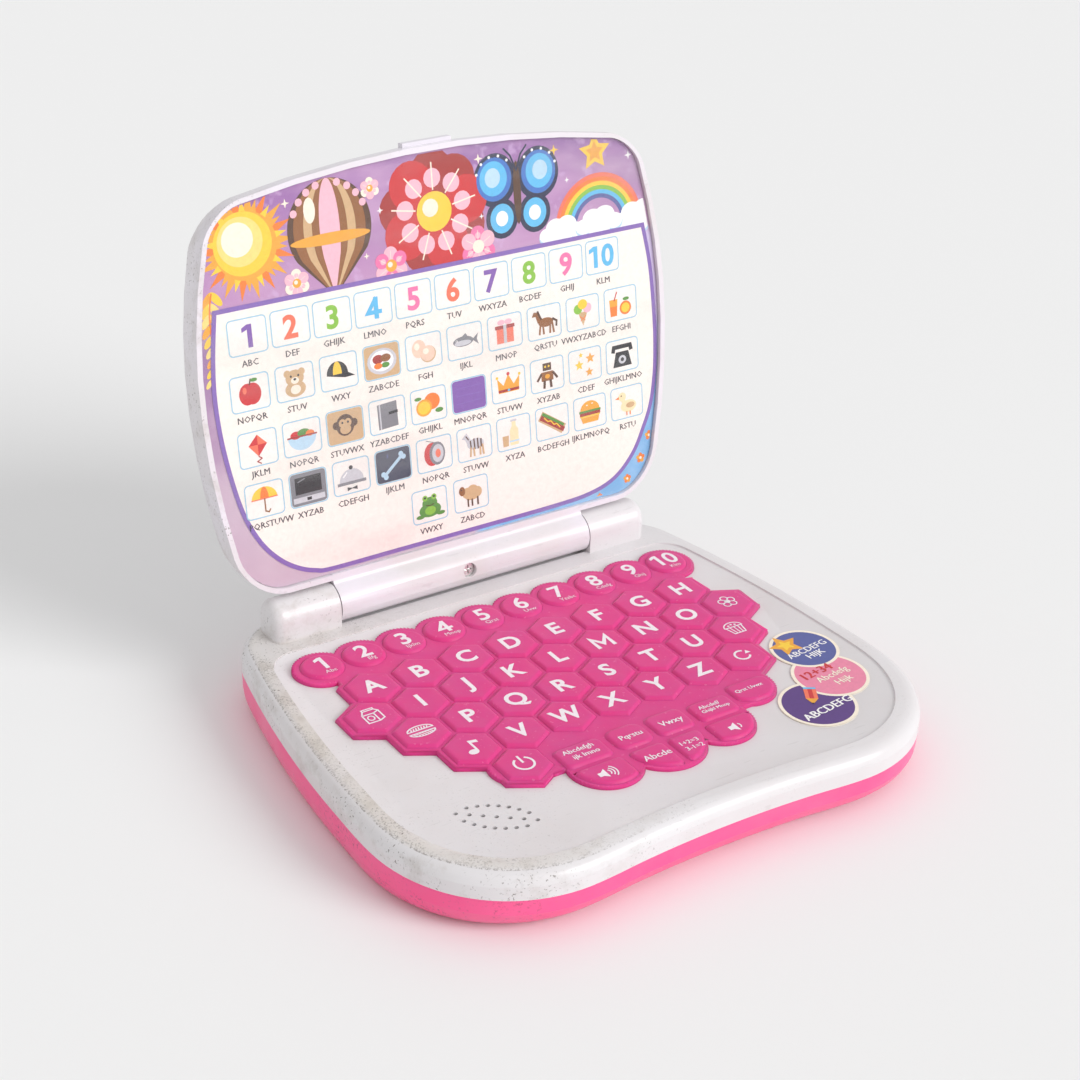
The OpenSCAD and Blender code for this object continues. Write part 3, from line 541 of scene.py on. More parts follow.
keypad = {"pitch": 17.0, "rowY": 24.2, "topZ": 23.0, "webZ": 22.1, "af": 15.6, "corner": 0.5, "numberD": 13.9,
          "letterSize": 9.2, "letterBold": 0.26, "numberSize": 9.6, "numberBold": 0.2, "wordSize": 2.5,
          "line": 0.75, "thinLine": 0.45, "rise": 0.04, "lipZ": 21.1, "lip": 1.0, "lipCuts": 5}
printStep = 0.012  # between two levels of print on the keys and stickers


def longestLoop(edges):
    # the widest ring of points that the edges make
    nextTo = {}
    for e in edges:
        a, b = e.verts
        nextTo.setdefault(a, []).append(b)
        nextTo.setdefault(b, []).append(a)
    loops, seen = [], set()
    for start in nextTo:
        loop, here = [], start
        while here and here not in seen:
            seen.add(here)
            loop.append(here)
            here = next((v for v in nextTo[here] if v not in seen), None)
        if loop:
            loops.append([(v.co.x / mm, v.co.y / mm) for v in loop])
    ring = max(loops, key=lambda loop: max(p[0] for p in loop) - min(p[0] for p in loop))
    return ring if area(ring) > 0 else ring[::-1]


def softMat():
    # the frame's mat with a rounded outer lip, and open where the moulded keys stand on it
    top, lipZ, lip = keypad["webZ"], keypad["lipZ"], keypad["lip"]
    mesh, work = ownCopy("keypad_mat", rubber)

    def onRim(e):
        faces = e.link_faces
        return (all(abs(v.co.z / mm - top) < 0.01 for v in e.verts)
                and sum(face.normal.z > 0.9 for face in faces) == 1
                and sum(abs(face.normal.z) < 0.1 for face in faces) == 1
                and all(face.calc_center_median().z / mm < top + 0.01 for face in faces))

    ring = longestLoop([e for e in work.edges if onRim(e)])
    inward = {}
    for here, there in zip(ring, pulledIn(ring, 1.0)):
        inward[(round(here[0], 2), round(here[1], 2))] = (there[0] - here[0], there[1] - here[1])
    for k in range(keypad["lipCuts"]):
        cut = lipZ + lip * sin(radians(90 * k / keypad["lipCuts"]))
        everything = work.verts[:] + work.edges[:] + work.faces[:]
        bmesh.ops.bisect_plane(work, geom=everything, plane_co=(0, 0, cut * mm), plane_no=(0, 0, 1))
    for v in work.verts:
        move = inward.get((round(v.co.x / mm, 2), round(v.co.y / mm, 2)))
        high = (v.co.z / mm - lipZ) / lip
        if move and high > 0.001:
            share = lip * (1 - sqrt(max(0.0, 1 - min(high, 1) ** 2)))
            v.co.x += move[0] * share * mm
            v.co.y += move[1] * share * mm
    bmesh.ops.delete(work, geom=[v for v in work.verts if v.co.z / mm > top + 0.02], context="VERTS")
    work.to_mesh(mesh)
    work.free()
    softenShading(mesh, 42)
    # the edge of the flat top stays sharp, so that its shading is even
    flat = {face.index for face in mesh.polygons if face.normal.z > 0.9999}
    owners = {}
    for face in mesh.polygons:
        for key in face.edge_keys:
            owners.setdefault(key, set()).add(face.index in flat)
    for edge in mesh.edges:
        edge.use_edge_sharp = edge.use_edge_sharp or len(owners.get(edge.key, ())) > 1
    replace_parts(placePiece("soft_mat", mesh, "case"), "keypad_mat")


softMat()


def rowPlace(x, row):
    # the middle of the key x pitches from the middle of a row, the rows lying as in a honeycomb
    return x * keypad["pitch"], keypad["rowY"] + row * sqrt(3) / 2 * keypad["pitch"]


def roundedConvex(polygon, pull, radius, steps=72):
    # a convex outline pulled in and rounded, with the same number of points whatever the pull
    core, far = polygon, 200
    for (x0, y0), (x1, y1) in sides(polygon):
        length = hypot(x1 - x0, y1 - y0)
        if length > 0.001:
            ux, uy = (x1 - x0) / length, (y1 - y0) / length
            x, y = x0 - uy * (pull + radius), y0 + ux * (pull + radius)
            a, b = (x - ux * far, y - uy * far), (x + ux * far, y + uy * far)
            core = cutTo([a, b, (b[0] - uy * far, b[1] + ux * far), (a[0] - uy * far, a[1] + ux * far)], core)
    outline = []
    for k in range(steps):
        nx, ny = cos(2 * pi * k / steps), sin(2 * pi * k / steps)
        x, y = max(core, key=lambda c: c[0] * nx + c[1] * ny)
        outline.append((x + nx * radius, y + ny * radius))
    return outline


# a key's outline at any pull inwards


def hexOutline(x, y):
    def outline(pull):
        r = (keypad["af"] - 2 * pull) / 2 / cos(radians(30))
        corners = [polar(x, y, r, 30 + 60 * i) for i in range(6)]
        return roundedOutline(corners, keypad["corner"] + max(pull, 0) * 0.8)
    return outline


def roundOutline(x, y):
    return lambda pull: ellipse(x, y, keypad["numberD"] / 2 - pull, steps=48)


def blockOutline(corners, radius, circle=None):
    shape = block(*corners)
    if circle:
        shape = cutTo(ellipse(*circle, steps=90), shape)
    return lambda pull: roundedConvex(shape, pull, max(radius - pull * 0.3, 0.8))


# how far each ring of a key is pulled in from its foot, and its height; the foot flares to meet the mat
capProfile = [(0.0, 18.2), (0.0, 21.75), (-0.13, 22.0), (-0.1, 22.13), (0.02, 22.26), (0.3, 22.55),
              (0.52, 22.77), (0.76, 22.91), (1.06, 22.98), (1.5, 23.0), (2.6, 22.99)]


def makeKey(label, place, outline, mark, number=""):
    # a key's cap and the print on it; one with a number is moulded into the mat and doesn't move
    body, slot, low = ("case", "magenta_rubber", 2) if number else (label, "key_rubber", 0)
    points, faces = loft([[(x, y, z) for x, y in outline(pull)] for pull, z in capProfile[low:]])
    piece = addPiece(label + "_cap" + number, points, faces, body, [rubber], 40)
    if not number:
        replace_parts(piece, label)
    x, y = place
    sheet = Sheet(lambda u, v, level: (x + u, y + v, keypad["topZ"] + keypad["rise"] + level * printStep))
    mark(sheet)
    sheet.piece(label + "_legend" + number, body, slot)


def hexKey(label, place, mark, number=""):
    makeKey(label, place, hexOutline(*place), mark, number)


def blockKey(label, corners, radius, circle, mark, number=""):
    x0, y0, x1, y1 = corners
    makeKey(label, ((x0 + x1) / 2, (y0 + y1) / 2), blockOutline(corners, radius, circle), mark, number)


def letterRun(start, count):
    # a caption as a plain run of the alphabet
    return "".join(chr(65 + (start + k) % 26) for k in range(count))


def figures(sheet, colour, text, size, bold, middle, level=0):
    # plain numbers; the one and the four are drawn rather than set
    high, wide = size * 0.36, size * 0.05 + bold
    x, y = middle
    if text == "1":
        stem, flag = x + 0.08 * size, x - 0.1 * size - wide
        sheet.lay(colour, [(stem - wide, y - high), (stem + wide, y - high), (stem + wide, y + high),
                           (stem - wide, y + high), (flag, y + high * 0.74), (flag, y + high * 0.36),
                           (stem - wide, y + high * 0.56)], level)
    elif text == "4":
        stem, bar = x + 0.1 * size, y - high * 0.42
        slope = [(x + 0.26 * size, bar), (x - 0.2 * size, bar), (stem, y + high - wide)]
        sheet.stroke(colour, slope, wide * 1.7, level)
        sheet.stroke(colour, [(stem, y - high + wide * 0.5), (stem, y + high - wide)], wide * 2, level + 0.5)
    elif text == "10":
        figures(sheet, colour, "1", size, bold, (x - size * 0.34, y), level)
        sheet.write(colour, "0", size, bold, (x + size * 0.22, y), level)
    else:
        sheet.write(colour, text, size, bold, middle, level)


def letterMark(letter):
    def draw(s):
        if letter == "M":
            s.stroke("legend", [(-2.9, -2.9), (-2.9, 3.0), (0, -1.1), (2.9, 3.0), (2.9, -2.9)], 1.4)
        else:
            s.write("legend", letter, keypad["letterSize"], keypad["letterBold"], (0, 0.1))
    return draw


def numberMark(number, word):
    def draw(s):
        figures(s, "legend", number, keypad["numberSize"], keypad["numberBold"], (0.2, 1.2))
        s.write("legend", word, keypad["wordSize"], 0, (1.0, -3.9), fine=2)
    return draw


for row, (start, letters) in enumerate([(-3.5, "ABCDEFGH"), (-3, "IJKLMNO"), (-2.5, "PQRSTU"), (-2, "VWXYZ")]):
    for i, letter in enumerate(letters):
        hexKey("key_" + letter.lower(), rowPlace(start + i, -row), letterMark(letter))

numberRow = {"spacing": 0.877, "row": 1.07, "wordLengths": [3, 3, 5, 4, 4, 3, 5, 5, 4, 3]}
for i, length in enumerate(numberRow["wordLengths"]):
    place = ((i - 4.5) * numberRow["spacing"] * keypad["pitch"],
             keypad["rowY"] + numberRow["row"] * keypad["pitch"])
    mark = numberMark(str(i + 1), letterRun(i * 4, length).capitalize())
    makeKey("key_%d" % (i + 1), place, roundOutline(*place), mark)


# small line pictures for the keys that carry one, in millimetres around the key's middle
def lines(s, width, *paths, closed=True):
    for path in paths:
        s.stroke("legend", path, width, closed=closed)


def noteMark(s):
    s.lay("legend", ellipse(-0.9, -2.6, 1.7, 1.3, 16))
    lines(s, keypad["line"], [(0.5, -2.4), (0.5, 3.0)], closed=False)
    s.lay("legend", [(0.15, 3.3), (3.0, 2.7), (3.0, 1.3), (0.15, 2.0)])


def powerMark(s):
    ring = ellipse(0, -0.4, 3.1, steps=24, start=125, sweep=290)
    lines(s, keypad["line"], ring, [(0, 0.2), (0, 3.6)], closed=False)


def repeatMark(s):
    lines(s, keypad["line"], ellipse(0, 0, 2.5, steps=20, start=60, sweep=270), closed=False)
    s.lay("legend", [(3.6, 0.2), (1.4, 0.2), (2.5, 2.0)])


def cartonMark(s):
    lines(s, 0.5, block(-2.9, -3.3, 1.0, 1.2))
    lines(s, 0.5, [(1.0, -3.3), (3.0, -2.4), (3.0, 2.0), (1.0, 1.2)],
          [(-2.9, 1.2), (-1.8, 3.2), (2.0, 3.2), (3.0, 2.0)], closed=False)
    lines(s, keypad["thinLine"], [(-1.8, 3.2), (-1.8, 4.0), (2.0, 4.0), (2.0, 3.2)], closed=False)
    lines(s, keypad["thinLine"], ellipse(-0.95, -1, 1.05, 1.2, 12))


def rollMark(s):
    lines(s, 0.5, ellipse(0, 0.9, 4.3, 2.1, 20, 0, 180), ellipse(0, -0.5, 4.3, 1.9, 20, 180, 180))
    for i in range(7):
        near = 1 - abs(i - 3) / 3
        lines(s, 0.42, [(-3.2 + i * 0.95, -0.7), (-2.5 + i * 0.95, -1.7 - 0.35 * near)],
              [(-2.9 + i * 0.9, 1.3), (-2.6 + i * 0.9, 1.9 + 0.4 * near)], closed=False)


def flowerMark(s):
    lines(s, 0.42, *[ellipse(*polar(0, 0, 2.0, 90 + 72 * a), 1.25, steps=14) for a in range(5)])
    s.lay("legend", ellipse(0, 0, 0.8))


def cakeMark(s):
    lines(s, keypad["thinLine"], ellipse(0, 0.7, 3.4, 2.6, 18, 0, 180))
    lines(s, keypad["thinLine"], [(-3.0, 0.5), (-2.2, -3.3), (2.2, -3.3), (3.0, 0.5)], closed=False)
    for x in (-1.3, 0, 1.3):
        lines(s, 0.4, [(x * 1.2, 0.4), (x * 0.9, -3.1)], closed=False)
        s.lay("legend", ellipse(x, 1.7 + 0.4 * (x == 0), 0.42, steps=10))


def soundMark(waves):
    def draw(s):
        s.lay("legend", [(-3.2, -0.95), (-1.9, -0.95), (-0.3, -2.2), (-0.3, 2.2), (-1.9, 0.95), (-3.2, 0.95)])
        lines(s, keypad["thinLine"], *[ellipse(-0.2, 0, 1.3 + k, steps=9, start=-48, sweep=96)
                                       for k in range(waves)], closed=False)
    return draw


def twice(write, shift, level, gap):
    # small lettering is laid twice, a little apart, to be bold enough
    for k, offset in enumerate((-shift, shift)):
        write(offset, level + k * gap)


def words(*texts):
    def draw(s):
        for text, size, u, v in texts:
            twice(lambda shift, level: s.write("legend", text, size, 0, (u + shift, v), level, 2), 0.06, 0, 0.5)
    return draw


hexKey("key_note", rowPlace(-3, -3), noteMark)
hexKey("key_repeat", rowPlace(3, -3), repeatMark)
hexKey("key_power", rowPlace(-2.5, -4), powerMark)
# keys with straight sides: low and high corners, corner radius, and the circle that the mat's lobe cuts them by
blockKey("key_volume_up", (-32.8, -57.2, -15.4, -46.0), 1.6, (-21.25, -46.01, 11.13), soundMark(3))
blockKey("key_volume_down", (15.6, -57.2, 32.6, -46.0), 1.6, (21.59, -45.5, 10.79), soundMark(1))
# keys moulded into the mat
for k, (place, mark) in enumerate([((-4, -1), cartonMark), ((4, -1), flowerMark),
                                   ((-3.5, -2), rollMark), ((3.5, -2), cakeMark)]):
    hexKey("picture", rowPlace(*place), mark, "_%d" % (k + 1))
middleLobe = (0, -45.67, 13.0)
wordKeys = [
    ((-32.6, -44, -15.9, -34), 2.0, None, words(("Abcdefgh", 2.9, -0.6, 1.7), ("ijk lmno", 2.9, 0.4, -1.5))),
    ((-13.6, -44, -0.6, -33.2), 3.4, None, words(("Pqrstu", 3.2, 0.2, -0.8))),
    ((1.2, -44, 14.7, -33.2), 2.4, None, words(("Vwxy", 3.7, 0.2, -0.9))),
    ((16.7, -44, 31.9, -34.4), 2.2, None, words(("Abcdef/", 2.5, -0.8, 1.3), ("Ghijkl Mnop", 2.1, 0.2, -1.2))),
    ((33.8, -42.6, 49.6, -31.6), 2.4, (41.14, -33.6, 9.27), words(("Qrst Uvwx", 2.3, -1.2, 0.6))),
    ((-13.1, -58.9, -0.6, -46.0), 1.6, middleLobe, words(("Abcde", 3.8, 0.6, 0.8))),
    ((1.2, -58.9, 13.1, -46.0), 1.6, middleLobe, words(("1+2=3", 2.7, -0.9, 1.7), ("3-1=2", 2.7, -0.9, -1.3)))]
for i, (corners, radius, circle, mark) in enumerate(wordKeys):
    blockKey("word", corners, radius, circle, mark, "_%d" % (i + 1))
print("keypad ready")

# stickers

stickers = {"z": 21.14, "border": 1.1, "turn": 7, "steps": 56, "tops": (7, 8),
            "discs": [(55.3, -52.6, 12.5, "plum"), (69.7, -41.4, 12.5, "bloom"), (72.9, -24.8, 11.4, "navy")]}
sheet = Sheet(lambda x, y, level: (x, y, stickers["z"] + level * printStep))
for level, (x, y, r, colour) in enumerate(stickers["discs"]):
    sheet.lay("cream", ellipse(x, y, r, steps=stickers["steps"]), level * 2)
    sheet.lay(colour, ellipse(x, y, r - stickers["border"], steps=stickers["steps"]), level * 2 + 1)


def leant(points, middle, degrees):
    c, s = cos(radians(degrees)), sin(radians(degrees))
    return [(middle[0] + x * c - y * s, middle[1] + x * s + y * c) for x, y in points]


def onDisc(index, colour, points, level):
    # every disc's print is turned a little to the left, as the sticker was applied
    sheet.lay(colour, leant(points, stickers["discs"][index][:2], stickers["turn"]), level)


def textOnDisc(index, colour, text, size, middle, bold=0.07):
    def write(shift, level):
        for face in glyphs(text, size, 0, (middle[0] + shift, middle[1]), 2):
            onDisc(index, colour, face, level)
    twice(write, bold, stickers["tops"][1], 1)


for colour, size, level in (("amber", 6.0, stickers["tops"][0]), ("yellow", 3.2, stickers["tops"][1])):
    onDisc(2, colour, star(-3.6, 5.0, size, 0.5), level)
textOnDisc(2, "white", "ABCDEFG", 3.9, (0.2, -0.8))
textOnDisc(2, "white", "HIJK", 3.9, (0.6, -4.8))
textOnDisc(1, "red", "12+34", 5.2, (-2.0, 4.0), 0.16)
textOnDisc(1, "cream", "Abcdefg", 4.1, (0.6, -0.6))
textOnDisc(1, "cream", "Hijk", 4.1, (1.4, -5.0))
pencil = [("sky", block(-2, 4, 2, 5)), ("coral", block(-2, -1.5, 2, 4)), ("red", block(-0.7, -1.5, 0.7, 4)),
          ("amber", [(-2, -1.5), (2, -1.5), (0, -4.6)]), ("black", [(-0.5, -3.9), (0.5, -3.9), (0, -4.6)])]
for level, (colour, points) in enumerate(pencil):
    onDisc(0, colour, leant(points, (1.6, 4.4), -38), stickers["tops"][0] + level * 0.6)
textOnDisc(0, "white", "ABCDEFG", 4.7, (0.6, -3.4), 0.13)
sheet.piece("badge_print", "case", "sticker_film")

# lid

lid = {"lean": 9.3, "hingeY": 69.0, "hingeZ": 27.3, "width": 175.4, "height": 134.0, "start": 7.95, "bow": 8.4,
       "belly": 0.109, "topR": 11.6, "bottomR": 15.8, "rim": 1.8, "edge": 0.35, "steps": 12}
refined("lid_front", "lid_frame", "lid", lidWhite, lid["edge"])
refined("lid_back", "lid_shell", "lid", lidWhite, lid["edge"])


def lidPlace(x, v, t):
    s, c = sin(radians(lid["lean"])), cos(radians(lid["lean"]))
    return x, lid["hingeY"] + v * s - t * c, lid["hingeZ"] + v * c + t * s


def lidOutline(inset):
    # the lid's bowed outline, seen from the front, heights counted from the hinge axis
    a, b = lid["width"] / 2 - inset, lid["height"] / 2 - inset
    low, high, steps = lid["bottomR"] - inset, lid["topR"] - inset, lid["steps"]
    corners = [[polar(cx, cy, r, start + 90 * i / steps) for i in range(steps + 1)]
               for cx, cy, r, start in ((a - high, b - high, high, 0), (high - a, b - high, high, 90),
                                        (low - a, low - b, low, 180), (a - low, low - b, low, 270))]
    outline = []
    for one, two in sides(corners):
        (x0, y0), (x1, y1) = one[-1], two[0]
        outline += one
        outline += [(x0 + (x1 - x0) * k / steps, y0 + (y1 - y0) * k / steps) for k in range(1, steps)]
    bowed = []
    for x, y in outline:
        w, u = y / (lid["height"] / 2), x / (lid["width"] / 2)
        drop = lid["bow"] * w * u * u if w > 0 else 0
        bowed.append((x * (1 - lid["belly"] * w * w), y - drop + lid["start"] + lid["height"] / 2))
    return bowed


def cardPrint(name):
    # the card's ground: violet sky above, lilac and pale blue margins below, all a little mottled
    f = Finish(name, 0.42)
    sky = f.along("Z", 125.5, 128.5)
    violet = f.mix(f.along("Z", 128, 162), tone(192, 146, 188), tone(152, 104, 168))
    violet = f.mix(f.patches(30, 4, 0.42, 0.66, 0, 0.7, stretch=(1, 1, 2.4)), violet, tone(200, 162, 198))
    violet = f.mix(f.patches(160, 2, 0.6, 0.68, 0, 0.5), violet, tone(208, 176, 216))
    lilac = f.mix(f.along("Z", 45, 115), tone(202, 178, 194), tone(156, 116, 164))
    lilac = f.mix(f.patches(44, 4, 0.45, 0.66, 0, 0.45), lilac, tone(216, 196, 208))
    azure = f.mix(f.patches(70, 4, 0.4, 0.66), tone(122, 178, 224), tone(160, 200, 236))
    azure = f.mix(f.along("Z", 75, 100), azure, tone(206, 192, 226))
    margin = f.mix(f.along("X", 6.5, 9.5), lilac, azure)
    return f.dress({"Base Color": f.mix(sky, margin, violet), "Normal": f.bump(f.noise(800, 2), 0.00001, 0.3)})


def plate(name, back, front, finish, node):
    outline = lidOutline(lid["rim"] + 0.2)
    points, faces = loft([[lidPlace(x, v, depth) for x, v in outline] for depth in (back, front)])
    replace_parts(addPiece(name, points, faces, "lid", [finish], 30), node)


card = {"back": -0.1, "front": 0.3, "inkStart": 0.016, "inkStep": 0.014}
plate("picture_sheet", card["back"], card["front"], cardPrint("printed_ground"), "picture_card")


def printPlace(x, v, level):
    return lidPlace(x, v, card["front"] + card["inkStart"] + level * card["inkStep"])


def smoothRun(points, steps=5):
    run = []
    for i in range(len(points) - 1):
        a, b, c, d = points[max(i - 1, 0)], points[i], points[i + 1], points[min(i + 2, len(points) - 1)]
        for k in range(steps):
            t = k / steps
            run.append(tuple(0.5 * (2 * q + (r - p) * t + (2 * p - 5 * q + 4 * r - s) * t * t
                                    + (3 * q - p - 3 * r + s) * t ** 3) for p, q, r, s in zip(a, b, c, d)))
    return run + [points[-1]]


panel = {"line": 1.5, "level": 9,
         "edge": [(-79.7, 103.3), (-81.7, 90), (-82.7, 78), (-82.4, 66), (-81, 54), (-78.6, 41.5), (-75.9, 33),
                  (-71.6, 24.8), (-66, 18.4), (-60, 14.2), (-54, 11.8), (-47.4, 10.8), (-20, 10.8), (8.7, 10.8),
                  (38.5, 10.9), (54, 11.8), (65, 15.2), (73.3, 22.5), (78.5, 31.4), (81.8, 38.9), (83.7, 47.6),
                  (84.6, 56), (84.9, 68.5), (83.9, 88), (81.3, 103.3)]}
chart = Sheet(printPlace)
border = smoothRun(panel["edge"])
inside = pulledIn(border, panel["line"])
chart.frame("border", border, inside, panel["level"] + 1)
chart.lay("paper", inside, panel["level"])

# rows: the first cell's middle, the step from cell to cell, the row's height, its pictures, its caption lengths
grid = {"half": (6.8, 5.85), "corner": 1.5, "line": 0.42, "tilt": 0.011, "fillEdge": 0.5, "fillCorner": 1.1,
        "digitSize": 10.2, "digitBold": 0.3, "caption": -8.4, "captionSize": 2.95, "captionShift": 0.05,
        "nudge": {"umbrella": 1.7},
        "rows": [(-69.0, 14.73, 93.4, "1 2 3 4 5 6 7 8 9 10", [3, 3, 5, 4, 4, 3, 5, 5, 4, 3]),
                 (-70.1, 15.59, 75.6, "apple bear cap dinner egg fish gift horse ices juice",
                  [5, 4, 3, 6, 3, 4, 4, 5, 9, 5]),
                 (-69.4, 15.49, 57.4, "kite lunch monkey notebook orange purple crown robot stars telephone",
                  [4, 5, 6, 8, 6, 6, 5, 5, 4, 9]),
                 (-69.0, 15.57, 40.4, "umbrella video tray xray yoyo zebra milk hotdog burger duck",
                  [8, 5, 6, 5, 5, 5, 4, 7, 9, 4]),
                 (-9.9, 16.1, 23.3, "frog sheep", [4, 5])]}
digitInks = ["purple", "coral", "lime", "sky", "pink", "coral", "purple", "lime", "pink", "sky"]

